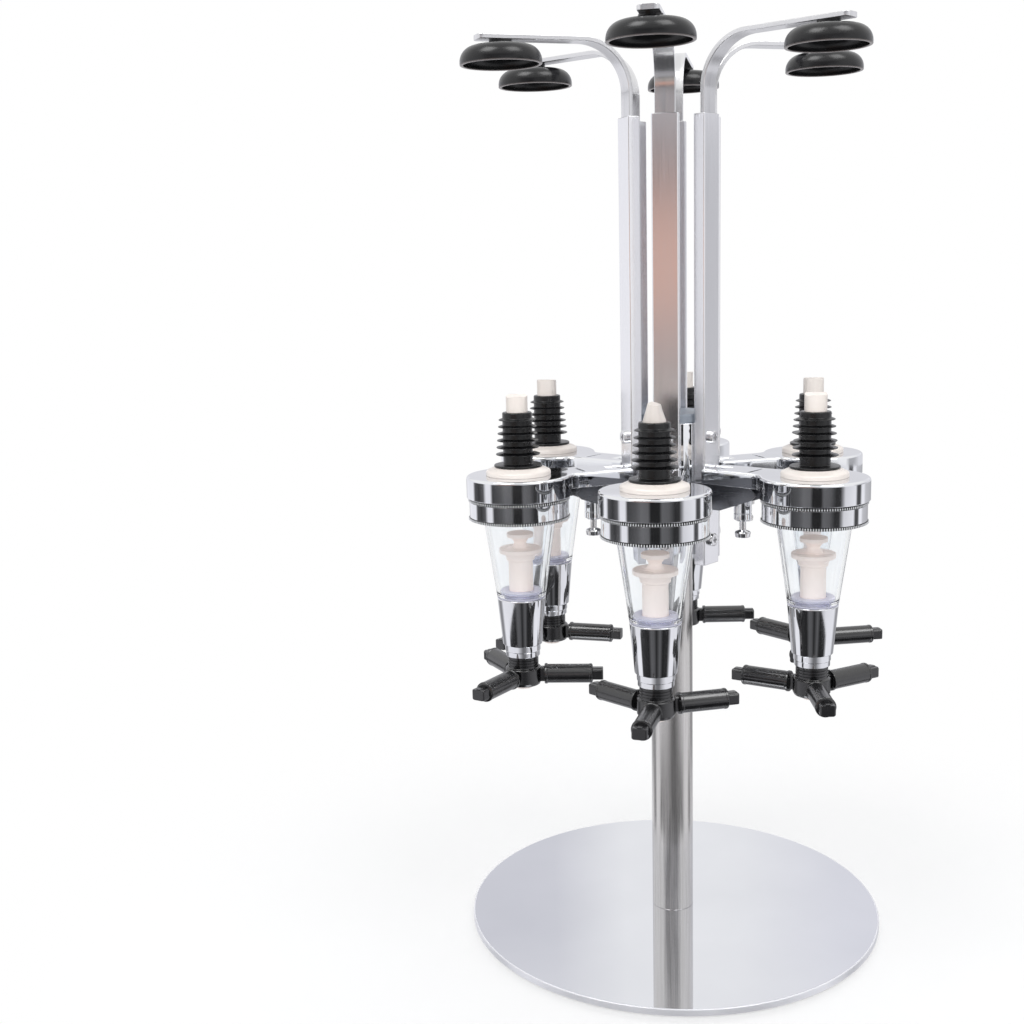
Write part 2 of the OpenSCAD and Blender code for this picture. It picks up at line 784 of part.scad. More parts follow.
module holder() {
    hole_r = inlet_spigot_r + slide_gap;
    difference() {
        union() {
            at_measure() turned(concat(
                [
                    [hole_r, holder_top_z - holder_plate_t], [skirt_in_r, holder_top_z - holder_plate_t],
                    [skirt_in_r, skirt_z0], [skirt_r, skirt_z0], [skirt_r, holder_z0], [holder_r, holder_z0]
                ],
                arc(holder_r - holder_edge_r, holder_top_z - holder_edge_r, holder_edge_r, 0, 90),
                [[hole_r, holder_top_z]]
            ));
            holder_neck();
        }
        translate([holder_root_x - 1, -pocket_w / 2, deck_z + pocket_floor])
            cube([pocket_len + 1, pocket_w, neck_h - pocket_floor - pocket_roof]);
        translate([holder_root_x - 1, -slot_w / 2, deck_z + pocket_floor])
            cube([pocket_len + 1, slot_w, neck_h]);
        translate([groove_x, -groove_len / 2, holder_top_z - groove_depth])
            cube([groove_w, groove_len, groove_depth + 1]);
        translate([plunger_x, 0, deck_z - 1]) cylinder(r = pin_r + slide_gap, h = pin_bite + 1 + slide_gap);
    }
}

module holders() {
    color("gainsboro") each_station() holder();
}

module ring_nuts() {
    lip_r = chamber_r + slide_gap;
    bore_r = skirt_r + fit_gap;
    band_r = nut_r - nut_band_in;
    color("gainsboro") each_station() at_measure() turned([
        [lip_r, nut_z0], [nut_r - 0.4, nut_z0], [nut_r, nut_z0 + 0.4],
        [nut_r, nut_z0 + nut_bead_h], [band_r, nut_z0 + nut_bead_h], [band_r, nut_z1 - nut_bead_h],
        [nut_r, nut_z1 - nut_bead_h], [nut_r, nut_z1 - 0.4], [nut_r - 0.4, nut_z1], [bore_r, nut_z1],
        [bore_r, nut_lip_z1], [lip_r, nut_lip_z1]
    ]);
}

module chamber_seals() {
    color("black") each_station() at_measure() tube(skirt_r - slide_gap, skirt_in_r, flange_z1, skirt_z0);
}

module chambers() {
    low_in_r = chamber_low_r - chamber_wall;
    color("lightcyan", 0.4) each_station() at_measure() turned([
        [stem_hole_r, spigot_z0], [spigot_r, spigot_z0], [spigot_r, chamber_z0], [chamber_low_r, chamber_z0],
        [chamber_r, nut_lip_z1], [flange_r, nut_lip_z1], [flange_r, flange_z1],
        [chamber_r - chamber_wall, flange_z1], [low_in_r, chamber_z0 + chamber_floor],
        [stem_hole_r, chamber_z0 + chamber_floor]
    ]);
}

// The slanted tip of an inlet, without its bore
module inlet_tip(k) {
    lean = (tip_r - tip_edge_w / 2) / (tip_h - tip_foot);
    half = tip_r + lean * (tip_foot + 1);
    translate([0, 0, bung_z1]) rotate([0, 0, tip_turns[k]]) intersection() {
        cylinder(r = tip_r, h = tip_h + 1);
        translate([0, tip_d, 0]) rotate([90, 0, 0]) linear_extrude(2 * tip_d) polygon([
            [-half, -1], [half, -1], [tip_edge_w / 2, tip_h - tip_slant], [-tip_edge_w / 2, tip_h]
        ]);
    }
}

module inlet_tube(k) {
    difference() {
        union() {
            turned(concat(
                [
                    [0, inlet_seat_z], [inlet_seat_r, inlet_seat_z], [inlet_seat_r, inlet_cone_z],
                    [inlet_spigot_r, inlet_cone_z + inlet_spigot_r - inlet_seat_r],
                    [inlet_spigot_r, holder_top_z], [collar_r, holder_top_z]
                ],
                arc(collar_r - collar_edge_r, collar_rim_z - collar_edge_r, collar_edge_r, 0, 80),
                [
                    [bung_base_d / 2, collar_z1], [inlet_tube_r, collar_z1],
                    [inlet_tube_r, bung_z1 + 1], [0, bung_z1 + 1]
                ]
            ));
            inlet_tip(k);
        }
        translate([0, 0, inlet_seat_z - 1])
            cylinder(r = inlet_bore_r, h = bung_z1 + tip_h - inlet_seat_z + 2);
    }
}

module inlet_tubes() {
    color("ivory") for (k = [0:station_n - 1]) station(k) at_measure() inlet_tube(k);
}

// Points of a bung's rib i, counted from the lowest
function rib_points(i) =
    let (
        z = bung_z1 - rib_top_gap - (rib_n - 1 - i) * rib_pitch,
        r = (rib_low_d + (rib_top_d - rib_low_d) * i / (rib_n - 1)) / 2
    )
    [
        [bung_core_r, z - rib_t / 2], [r, z - rib_droop - rib_edge_t / 2],
        [r, z - rib_droop + rib_edge_t / 2], [bung_core_r, z + rib_t / 2]
    ];

module bungs() {
    bore_r = inlet_tube_r + fit_gap;
    base_r = bung_base_d / 2;
    color("dimgray") each_station() at_measure() turned(concat(
        [
            [bore_r, collar_z1], [base_r - 0.4, collar_z1], [base_r, collar_z1 + 0.4],
            [base_r, collar_z1 + bung_base_t - 0.6], [base_r - 0.8, collar_z1 + bung_base_t],
            [bung_core_r, collar_z1 + bung_base_t]
        ],
        [for (i = [0:rib_n - 1]) each rib_points(i)],
        [[bung_core_r, bung_z1 - 0.8], [bung_core_r - 0.8, bung_z1], [bore_r, bung_z1]]
    ));
}

module nozzle_sleeves() {
    thread_r = spigot_r + fit_gap;
    color("gainsboro") each_station() at_measure() turned([
        [sleeve_bore_r, sleeve_z0], [sleeve_low_r, sleeve_z0], [chamber_low_r, chamber_z0],
        [thread_r, chamber_z0], [thread_r, sleeve_step_z], [sleeve_bore_r, sleeve_step_z]
    ]);
}

module nozzle_rings() {
    inner_r = sleeve_bore_r - fit_gap;
    mid_z = gland_z0 + gland_h * 0.45;
    color("gainsboro") each_station() at_measure() turned([
        [gland_bore_r, gland_z0], [gland_r - gland_groove, gland_z0], [gland_r - gland_groove, mid_z],
        [gland_r, mid_z], [gland_r, sleeve_z0], [inner_r, sleeve_z0], [inner_r, sleeve_z0 + gland_rise],
        [gland_bore_r, sleeve_z0 + gland_rise]
    ]);
}

// Valves and triggers

module valve() {
    disc_z1 = disc_z0 + disc_t;
    plug_z0 = plug_disc_z1 - plug_disc_t;
    color("ivory") at_measure() difference() {
        turned([
            [0, outlet_z0], [outlet_r, outlet_z0], [outlet_r, stop_z0], [stop_r, stop_z0],
            [stop_r, stop_z0 + stop_t], [stem_r, stop_z0 + stop_t], [stem_r, disc_z0 - disc_cone_h - 2],
            [stem_r + 1.2, disc_z0 - disc_cone_h - 1.2], [stem_r + 1.2, disc_z0 - disc_cone_h],
            [stem_r + 2.6, disc_z0], [disc_r, disc_z0], [disc_r, disc_z1 - 0.8], [disc_r - 0.8, disc_z1],
            [valve_neck_r + 2, disc_z1], [valve_neck_r, (disc_z1 + plug_z0) / 2],
            [plug_disc_r - 2, plug_z0], [plug_disc_r, plug_z0],
            [plug_disc_r, plug_disc_z1], [0, plug_disc_z1]
        ]);
        translate([0, 0, outlet_z0 - 1]) cylinder(r = outlet_bore_r, h = stem_bore_z1 - outlet_z0 + 1);
        translate([-stem_r - 1, 0, port_z]) rotate([0, 90, 0]) cylinder(r = port_r, h = 2 * stem_r + 2);
    }
}

module trigger_springs() {
    color("silver") each_station() at_measure()
        coil(
            trigger_spring_r, trigger_spring_wire, stop_z0 + stop_t + fit_gap,
            spigot_z0 - fit_gap, trigger_spring_turns
        );
}

module each_trigger_arm() {
    for (turn = [0, 120, 240]) rotate([0, 0, turn]) translate([0, 0, trigger_arm_z]) children();
}

module trigger(k) {
    foot_z1 = trigger_z0 + trigger_foot_h;
    bore_r = outlet_r + run_gap;
    color("dimgray") at_measure() rotate([0, 0, trigger_turns[k]]) difference() {
        union() {
            turned([
                [0, trigger_z0], [trigger_foot_r - 0.8, trigger_z0], [trigger_foot_r, trigger_z0 + 1.2],
                [trigger_foot_r, foot_z1 - 0.8], [trigger_foot_r - 0.8, foot_z1], [trigger_hub_r, foot_z1],
                [trigger_hub_r, trigger_z1], [0, trigger_z1]
            ]);
            each_trigger_arm() {
                translate([0, -trigger_neck_w / 2, -trigger_neck_h / 2])
                    cube([grip_x0, trigger_neck_w, trigger_neck_h]);
                translate([0, -trigger_arm_w / 2, -trigger_arm_h / 2])
                    cube([trigger_len, trigger_arm_w, trigger_arm_h]);
            }
        }
        translate([0, 0, trigger_z0 - 1]) cylinder(r = bore_r, h = trigger_z1 - trigger_z0 + 2);
    }
}

module grips(k) {
    grip_r = grip_d / 2;
    rim_r = grip_r + grip_rim;
    color("black") at_measure() rotate([0, 0, trigger_turns[k]]) each_trigger_arm() difference() {
        translate([grip_x0, 0, 0]) rotate([0, 90, 0]) turned([
            [0, 0], [rim_r, 0], [rim_r, grip_rim_t], [grip_r, grip_rim_t], [grip_r, grip_len - 0.6],
            [grip_r - 0.6, grip_len], [0, grip_len]
        ]);
        translate([grip_x0 - 1, -trigger_arm_w / 2, -trigger_arm_h / 2])
            cube([grip_len + 2, trigger_arm_w, trigger_arm_h]);
    }
}

base_plate();
base_pad();
pole();
tie_rod();
pivot_plug();
hub();
hub_cap();
hub_bushes();
uprights();
upright_screws();
brackets();
bracket_rivets();
holders();
ring_nuts();
chamber_seals();
chambers();
inlet_tubes();
bungs();
nozzle_sleeves();
nozzle_rings();
trigger_springs();
plunger_housings();
plunger_springs();
arm_springs();
for (k = [0:station_n - 1]) {
    station(k) color("silver") lift_arm();
    station(k) cup();
    station(k) valve();
    station(k) trigger(k);
    station(k) grips(k);
    station(k) plunger();
}
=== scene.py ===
"""Six-station rotary dispenser stand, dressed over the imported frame.

Sizes of shapes are in millimetres until a mesh is made. Places of lamps and camera are in metres.
"""

import math

import bmesh
import bpy
from mathutils import Matrix, Vector
from mathutils.geometry import delaunay_2d_cdt

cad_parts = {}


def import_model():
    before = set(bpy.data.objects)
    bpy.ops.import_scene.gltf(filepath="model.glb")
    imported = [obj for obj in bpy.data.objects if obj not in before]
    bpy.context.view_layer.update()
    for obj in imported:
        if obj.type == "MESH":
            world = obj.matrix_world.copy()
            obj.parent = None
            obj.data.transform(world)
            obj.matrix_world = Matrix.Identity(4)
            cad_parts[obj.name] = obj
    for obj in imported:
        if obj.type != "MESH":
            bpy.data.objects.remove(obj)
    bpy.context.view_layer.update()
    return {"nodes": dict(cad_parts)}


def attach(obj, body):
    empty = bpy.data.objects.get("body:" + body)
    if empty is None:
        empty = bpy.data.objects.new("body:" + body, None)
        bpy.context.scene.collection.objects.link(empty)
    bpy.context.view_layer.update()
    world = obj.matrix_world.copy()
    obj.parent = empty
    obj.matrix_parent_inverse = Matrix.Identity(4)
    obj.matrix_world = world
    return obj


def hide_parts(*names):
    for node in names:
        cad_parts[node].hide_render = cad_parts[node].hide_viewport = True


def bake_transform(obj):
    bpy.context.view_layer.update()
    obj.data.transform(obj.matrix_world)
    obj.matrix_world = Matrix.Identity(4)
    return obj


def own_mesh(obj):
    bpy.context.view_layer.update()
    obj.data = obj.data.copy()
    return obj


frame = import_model()

MM = 0.001  # metres in a millimetre
STATIONS = range(6)
FLATS = 21.2  # distance of the hub's flats from the pole
FACE = 28.6  # distance of the uprights' outer faces from the pole
LOCKS = 49.6  # distance of the locking plungers from the pole
MEASURES = 95.0  # distance of the measures from the pole
CUPS = 99.0  # distance of the cups from the pole
ARMS = 165.5  # height of the trigger's arms
TRIGGER_TURNS = (-5, 70, -10, 40, 85, 38)  # degrees, one per station
TIP_TURNS = (85, -55, 65, 30, -60, 65)  # degrees, one per station
ARM_COIL = Vector((25.75, 3.95, 0))  # place of an arm spring in its station
CARDS = 2500  # distance of the grey cards from the pole
CARD_BACK = 2510  # distance of their back
CARD_TURN = -84.9  # turns the middle of the cards' bands to the camera's side, in degrees


# Outlines and solids

def fillet(points, steps=5):
    """Closed outline of corners (x, y) or (x, y, radius), with those corners rounded."""
    out = []
    for i, p in enumerate(points):
        radius = p[2] if len(p) > 2 else 0
        here = Vector(p[:2])
        if radius <= 0:
            out.append(tuple(here))
            continue
        back = Vector(points[i - 1][:2]) - here
        ahead = Vector(points[(i + 1) % len(points)][:2]) - here
        half = back.angle(ahead) / 2
        cut = min(radius / math.tan(half), 0.49 * back.length, 0.49 * ahead.length)
        radius = cut * math.tan(half)
        back.normalize()
        ahead.normalize()
        centre = here + (back + ahead).normalized() * radius / math.sin(half)
        first = here + back * cut - centre
        last = here + ahead * cut - centre
        start = math.atan2(first.y, first.x)
        turn = (math.atan2(last.y, last.x) - start + math.pi) % (2 * math.pi) - math.pi
        for s in range(steps + 1):
            a = start + turn * s / steps
            out.append((centre.x + radius * math.cos(a), centre.y + radius * math.sin(a)))
    return out


def arc(radius, a0, a1, steps, cx=0.0, cy=0.0):
    """Points on a circle from angle a0 to a1, in degrees."""
    angles = [math.radians(a0 + (a1 - a0) * s / steps) for s in range(steps + 1)]
    return [(cx + radius * math.cos(a), cy + radius * math.sin(a)) for a in angles]


def ring(radius, steps=48, cx=0.0, cy=0.0):
    """Circle as a closed outline."""
    return arc(radius, 0, 360, steps, cx, cy)[:-1]


def box(x0, x1, y0, y1, radius=0.0):
    """Rectangle with rounded corners as a closed outline."""
    return fillet([(x0, y0, radius), (x1, y0, radius), (x1, y1, radius), (x0, y1, radius)])


def lathe(profile, segments=96):
    """Closed profile (radius, height) turned about Z."""
    verts, rows = [], []
    for r, z in profile:
        if r < 1e-6:
            rows.append([len(verts)] * segments)
            verts.append((0.0, 0.0, z))
        else:
            rows.append(list(range(len(verts), len(verts) + segments)))
            verts += [(x, y, z) for x, y in ring(r, segments)]
    faces = []
    for a, b in zip(rows, rows[1:] + rows[:1]):
        for i in range(segments):
            j = (i + 1) % segments
            face = list(dict.fromkeys((a[i], a[j], b[j], b[i])))
            if len(face) > 2:
                faces.append(face)
    return verts, faces


def facing(loop, left):
    """The loop in counter-clockwise order if left is true, else clockwise."""
    area = sum(a[0] * b[1] - b[0] * a[1] for a, b in zip(loop, loop[1:] + loop[:1]))
    return list(loop) if (area > 0) == left else list(reversed(loop))


def inset(loop, depth):
    """The loop moved to its left by depth."""
    out = []
    for i, here in enumerate(loop):
        p = Vector(here)
        a = (p - Vector(loop[i - 1])).normalized()
        b = (Vector(loop[(i + 1) % len(loop)]) - p).normalized()
        scale = depth / max(1 + a.dot(b), 0.3)
        out.append((p.x - (a.y + b.y) * scale, p.y + (a.x + b.x) * scale))
    return out


def inside(point, loop):
    """Whether a point lies in a loop."""
    x, y = point
    odd = False
    for (ax, ay), (bx, by) in zip(loop, loop[1:] + loop[:1]):
        if (ay > y) != (by > y) and x < ax + (y - ay) * (bx - ax) / (by - ay):
            odd = not odd
    return odd


def fill(loops):
    """Triangles between an outline, the first loop, and the holes in it, as indices into the loops in a row."""
    points = [Vector(p) for loop in loops for p in loop]
    edges, start = [], 0
    for loop in loops:
        edges += [(start + i, start + (i + 1) % len(loop)) for i in range(len(loop))]
        start += len(loop)
    made, _, faces, origin, _, _ = delaunay_2d_cdt(points, edges, [], 1, 1e-7)
    kept = []
    for f in faces:
        mid = sum((made[i] for i in f), Vector((0, 0))) / len(f)
        if inside(mid, loops[0]) and not any(inside(mid, hole) for hole in loops[1:]):
            kept.append([origin[i][0] for i in f])
    return kept


def quads(rows, n, first=0):
    """Faces between rows of n points each, every row a closed loop, from index first on."""
    starts = [first + r * n for r in range(rows - 1)]
    return [[s + i, s + (i + 1) % n, s + (i + 1) % n + n, s + i + n] for s in starts for i in range(n)]


def tube(verts, n):
    """Solid through rows of n points each, with flat ends."""
    count = len(verts)
    return verts, quads(count // n, n) + [list(range(n)), list(range(count - n, count))]


def slab(outline, z0, z1, top=0.0, bottom=0.0, holes=(), pits=(), steps=4):
    """Plate between two heights with rounded edges, through holes and blind pits (outline, depth)."""
    def rows(radius, level, sign):
        if radius <= 0:
            return [(0.0, level)]
        angles = [math.pi / 2 * s / steps for s in range(steps + 1)]
        return [(radius * (1 - math.cos(a)), level + sign * radius * (math.sin(a) - 1)) for a in angles]

    levels = list(reversed(rows(bottom, z0, -1))) + rows(top, z1, 1)
    loops = [facing(outline, True)] + [facing(h, False) for h in holes]
    verts, faces, low, high = [], [], [], []

    def wall(loop, heights):
        first = len(verts)
        n = len(loop)
        for depth, z in heights:
            verts.extend((x, y, z) for x, y in (inset(loop, depth) if depth else loop))
        faces.extend(quads(len(heights), n, first))
        return list(range(first, first + n)), list(range(len(verts) - n, len(verts)))

    for loop in loops:
        under, over = wall(loop, levels)
        low.append(under)
        high.append(over)
    for loop, depth in pits:
        edge = min(0.25, depth / 3)
        rim = [(0.0, z1 - depth), (0.0, z1 - edge), (edge * 0.3, z1 - edge * 0.3), (edge, z1)]
        under, over = wall(facing(loop, False), rim)
        high.append(over)
        faces.extend([under[i] for i in f] for f in fill([[verts[v][:2] for v in under]]))
    for group in (low, high):
        order = [v for part in group for v in part]
        faces.extend([order[i] for i in f] for f in fill([[verts[v][:2] for v in part] for part in group]))
    return verts, faces


def sweep(section, path):
    """Closed section (across, up) along frames (origin, across direction, up direction, scale across)."""
    verts = []
    for origin, side, up, scale in path:
        verts += [tuple(origin + side * (u * scale) + up * v) for u, v in section]
    return tube(verts, len(section))


def knurl(root, tip, z0, z1, teeth, core):
    """Ring with upright teeth, on a core radius that lies inside another piece."""
    n = teeth * 4
    verts, faces = [], []
    chamfer = 0.35
    for r0, r1, z in ((core, core, z0), (root, root, z0), (root, tip, z0 + chamfer),
                      (root, tip, z1 - chamfer), (root, root, z1), (core, core, z1)):
        for i in range(n):
            r = r1 if i % 4 < 2 else r0
            a = 2 * math.pi * (i + (0.3 if i % 2 else -0.1)) / n
            verts.append((r * math.cos(a), r * math.sin(a), z))
    for r in range(6):
        s = (r + 1) % 6
        for i in range(n):
            j = (i + 1) % n
            faces.append([r * n + i, r * n + j, s * n + j, s * n + i])
    return verts, faces


def coil(radius, wire, turns, z0, z1, per_turn=28, sides=10):
    """Round wire wound about Z."""
    verts = []
    count = turns * per_turn
    rise = (z1 - z0 - 2 * wire) / (2 * math.pi * turns)
    for i in range(count + 1):
        a = 2 * math.pi * i / per_turn
        out = Vector((math.cos(a), math.sin(a), 0))
        along = Vector((-radius * out.y, radius * out.x, rise)).normalized()
        side = along.cross(out)
        centre = out * radius + Vector((0, 0, z0 + wire + rise * a))
        for s in range(sides):
            b = 2 * math.pi * s / sides
            verts.append(tuple(centre + (out * math.cos(b) + side * math.sin(b)) * wire))
    return tube(verts, sides)


def turn_z(degrees):
    """Turn about Z."""
    return Matrix.Rotation(math.radians(degrees), 4, "Z")


def placed(shape, matrix):
    """The shape moved by a matrix."""
    return [tuple(matrix @ Vector(v)) for v in shape[0]], shape[1]


def joined(*shapes):
    """Several shapes as one."""
    verts, faces = [], []
    for v, f in shapes:
        faces += [[i + len(verts) for i in face] for face in f]
        verts += v
    return verts, faces


def threefold(shape):
    """Three copies of a shape, evenly round Z."""
    return joined(*(placed(shape, turn_z(120 * i)) for i in range(3)))


def mesh_of(name, shape, angle=32):
    """Mesh in metres with outward faces, smooth but for edges sharper than angle."""
    bm = bmesh.new()
    verts = [bm.verts.new(Vector(v) * MM) for v in shape[0]]
    for face in shape[1]:
        bm.faces.new([verts[i] for i in face])
    bmesh.ops.recalc_face_normals(bm, faces=bm.faces)
    mesh = bpy.data.meshes.new(name)
    bm.to_mesh(mesh)
    bm.free()
    for polygon in mesh.polygons:
        polygon.use_smooth = True
    mesh.set_sharp_from_angle(angle=math.radians(angle))
    return mesh


# Materials

def surface(name, dark, light, rough, metallic=0.0, grain=(1, 1, 1), scale=60.0, bump=0.0, bump_scale=400.0,
            **sockets):
    """Principled surface whose colour and roughness drift with a noise that grain stretches, with a fine bump."""
    mat = bpy.data.materials.new(name)
    mat.use_nodes = True
    nodes, link = mat.node_tree.nodes, mat.node_tree.links.new
    shader = nodes["Principled BSDF"]
    shader.inputs["Metallic"].default_value = metallic
    for key, value in sockets.items():
        shader.inputs[key.replace("_", " ")].default_value = value
    coords = nodes.new("ShaderNodeTexCoord")
    stretch = nodes.new("ShaderNodeMapping")
    stretch.inputs["Scale"].default_value = grain
    link(coords.outputs["Object"], stretch.inputs["Vector"])
    noise = nodes.new("ShaderNodeTexNoise")
    noise.inputs["Scale"].default_value = scale
    noise.inputs["Detail"].default_value = 5.0
    link(stretch.outputs["Vector"], noise.inputs["Vector"])
    tint = nodes.new("ShaderNodeValToRGB")
    tint.color_ramp.elements[0].position = 0.3
    tint.color_ramp.elements[0].color = (*dark, 1)
    tint.color_ramp.elements[1].position = 0.7
    tint.color_ramp.elements[1].color = (*light, 1)
    link(noise.outputs["Fac"], tint.inputs["Fac"])
    link(tint.outputs["Color"], shader.inputs["Base Color"])
    level = nodes.new("ShaderNodeMapRange")
    level.inputs["From Min"].default_value = 0.3
    level.inputs["From Max"].default_value = 0.7
    level.inputs["To Min"].default_value = rough[0]
    level.inputs["To Max"].default_value = rough[1]
    link(noise.outputs["Fac"], level.inputs["Value"])
    link(level.outputs["Result"], shader.inputs["Roughness"])
    if bump:
        fine = nodes.new("ShaderNodeTexNoise")
        fine.inputs["Scale"].default_value = bump_scale
        fine.inputs["Detail"].default_value = 3.0
        link(stretch.outputs["Vector"], fine.inputs["Vector"])
        relief = nodes.new("ShaderNodeBump")
        relief.inputs["Strength"].default_value = bump
        relief.inputs["Distance"].default_value = 0.0002
        link(fine.outputs["Fac"], relief.inputs["Height"])
        link(relief.outputs["Normal"], shader.inputs["Normal"])
    return mat


def toned(mat, measure, low, high, colour):
    """The material in a colour where a measure is low, and as it was where the measure is high."""
    nodes, link = mat.node_tree.nodes, mat.node_tree.links.new
    base = nodes["Principled BSDF"].inputs["Base Color"]
    level = nodes.new("ShaderNodeMapRange")
    level.inputs["From Min"].default_value = low * MM
    level.inputs["From Max"].default_value = high * MM
    link(measure, level.inputs["Value"])
    blend = nodes.new("ShaderNodeMix")
    blend.data_type = "RGBA"
    link(level.outputs["Result"], blend.inputs["Factor"])
    blend.inputs["A"].default_value = (*colour, 1)
    link(base.links[0].from_socket, blend.inputs["B"])
    link(blend.outputs["Result"], base)


def painted_rim_reflection(mat, low, high, colour):
    """Painted reflection: a paler band on the rim of a cup, by the height in its own mesh."""
    nodes, link = mat.node_tree.nodes, mat.node_tree.links.new
    coords, split = nodes.new("ShaderNodeTexCoord"), nodes.new("ShaderNodeSeparateXYZ")
    link(coords.outputs["Object"], split.inputs["Vector"])
    toned(mat, split.outputs["Z"], low, high, colour)


def painted_gap_shade(mat, low, high, colour):
    """Painted shade: dark gaps between teeth, by the distance from the axis of the mesh."""
    nodes, link = mat.node_tree.nodes, mat.node_tree.links.new
    coords, flat = nodes.new("ShaderNodeTexCoord"), nodes.new("ShaderNodeVectorMath")
    flat.operation = "MULTIPLY"
    flat.inputs[1].default_value = (1, 1, 0)
    link(coords.outputs["Object"], flat.inputs[0])
    length = nodes.new("ShaderNodeVectorMath")
    length.operation = "LENGTH"
    link(flat.outputs["Vector"], length.inputs[0])
    toned(mat, length.outputs["Value"], low, high, colour)


MATERIALS = {
    "mirror_steel": surface("mirror_steel", (0.73, 0.74, 0.78), (0.77, 0.78, 0.82), (0.015, 0.04), 1.0, scale=14,
                            bump=0.004, bump_scale=40),
    "satin_steel": surface("satin_steel", (0.60, 0.585, 0.565), (0.70, 0.685, 0.665), (0.17, 0.27), 1.0,
                           grain=(1, 1, 0.02), scale=900, bump=0.03, bump_scale=1800),
    "plated_steel": surface("plated_steel", (0.68, 0.68, 0.69), (0.78, 0.78, 0.79), (0.16, 0.26), 1.0,
                            grain=(0.05, 1, 0.05), scale=300, bump=0.04, bump_scale=900),
    "chrome": surface("chrome", (0.80, 0.81, 0.83), (0.86, 0.87, 0.89), (0.02, 0.06), 1.0, scale=45, bump=0.006,
                      bump_scale=90),
    "cap_grey": surface("cap_grey", (0.30, 0.34, 0.40), (0.38, 0.42, 0.48), (0.34, 0.46), scale=160, bump=0.08),
    "bush_white": surface("bush_white", (0.74, 0.74, 0.72), (0.82, 0.82, 0.80), (0.4, 0.5), bump=0.05),
    "aluminium": surface("aluminium", (0.84, 0.84, 0.86), (0.87, 0.87, 0.89), (0.17, 0.21), 1.0,
                         grain=(1, 1, 0.02), scale=1300, bump=0.003, bump_scale=2600),
    "screw_steel": surface("screw_steel", (0.72, 0.72, 0.73), (0.82, 0.82, 0.83), (0.08, 0.16), 1.0, scale=300,
                           bump=0.03),
    "bracket_steel": surface("bracket_steel", (0.16, 0.165, 0.18), (0.20, 0.205, 0.22), (0.22, 0.30), 1.0,
                             grain=(0.15, 1, 1), scale=160, bump=0.02, bump_scale=600),
    "seal_rubber": surface("seal_rubber", (0.05, 0.05, 0.05), (0.08, 0.08, 0.08), (0.5, 0.6), bump=0.08),
    "clear_plastic": surface("clear_plastic", (0.93, 0.95, 0.97), (0.97, 0.98, 0.99), (0.0, 0.035), scale=70,
                             bump=0.006, bump_scale=60, Transmission_Weight=1.0, IOR=1.45),
    "ivory_plastic": surface("ivory_plastic", (0.87, 0.79, 0.735), (0.92, 0.855, 0.80), (0.26, 0.38), scale=55,
                             bump=0.05, bump_scale=500),
    "bung_rubber": surface("bung_rubber", (0.004, 0.004, 0.005), (0.009, 0.009, 0.010), (0.24, 0.34), scale=220,
                           bump=0.01, bump_scale=900, Specular_IOR_Level=0.45),
    "spring_steel": surface("spring_steel", (0.40, 0.40, 0.42), (0.52, 0.52, 0.54), (0.2, 0.34), 1.0, scale=500),
    "cup_black": surface("cup_black", (0.003, 0.003, 0.004), (0.006, 0.006, 0.007), (0.23, 0.28), scale=140,
                         bump=0.008, bump_scale=900, Specular_IOR_Level=0.45),
    "trigger_black": surface("trigger_black", (0.004, 0.004, 0.005), (0.008, 0.008, 0.009), (0.17, 0.22), scale=180,
                             bump=0.004, bump_scale=800, Specular_IOR_Level=0.9),
    "grip_rubber": surface("grip_rubber", (0.005, 0.005, 0.006), (0.011, 0.011, 0.012), (0.18, 0.23), scale=260,
                           bump=0.004, bump_scale=900, Specular_IOR_Level=1.0),
    "pad_rubber": surface("pad_rubber", (0.03, 0.03, 0.03), (0.06, 0.06, 0.06), (0.6, 0.75), bump=0.15),
}
# Painted reflection: a pale band on the cups' rims, where glossy black mirrors the pale floor.
painted_rim_reflection(MATERIALS["cup_black"], 506.45, 507.15, (0.30, 0.26, 0.25))
KNURLED = surface("knurled_chrome", (0.86, 0.87, 0.89), (0.92, 0.93, 0.95), (0.30, 0.40), 0.35, scale=45)
# Painted shade in the knurls' gaps between the teeth.
painted_gap_shade(KNURLED, 28.55, 28.95, (0.004, 0.004, 0.005))
# Valve ivory: paler than the ivory plastic, with a painted glow, for light that the nuts overhead keep off.
VALVE_PAINTED_LIGHT = surface("valve_plastic_painted_light", (0.94, 0.85, 0.80), (0.97, 0.90, 0.86), (0.26, 0.38), scale=55,
                bump=0.05, bump_scale=500, Emission_Color=(1.0, 0.82, 0.75, 1), Emission_Strength=0.16)
RIM = surface("rim_steel", (0.78, 0.78, 0.82), (0.86, 0.86, 0.90), (0.30, 0.40), 0.35, scale=40)
# Milky, part clear plastic of the chambers' feet and washers; its pale lavender tone is a painted glow of the clear
# plastic's edge.
WASHER_PAINTED_GLOW = surface("washer_plastic_painted_glow", (0.76, 0.76, 0.92), (0.84, 0.84, 0.97), (0.25, 0.35), scale=70,
                 Transmission_Weight=0.25)


# Pieces

def put(name, data):
    """New object in the scene."""
    obj = bpy.data.objects.new(name, data)
    bpy.context.scene.collection.objects.link(obj)
    return obj


def piece(name, mesh, slot, body, nodes, matrix=Matrix.Identity(4)):
    """Object of a mesh in its place, riding on its body in place of its CAD nodes."""
    if not mesh.materials:
        mesh.materials.append(MATERIALS[slot])
    obj = put(name, mesh)
    obj.matrix_world = matrix
    obj.modifiers.new("flat_faces", "WEIGHTED_NORMAL").keep_sharp = True
    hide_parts(*nodes)
    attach(obj, body)
    return obj


def station(k):
    """Frame of a station, X outwards from the pole."""
    return turn_z(60 * k - 90)


def axis(k, distance=MEASURES):
    """Frame of a station at a distance from the pole, Z on the axis of its measure or cup."""
    return station(k) @ Matrix.Translation((distance * MM, 0, 0))


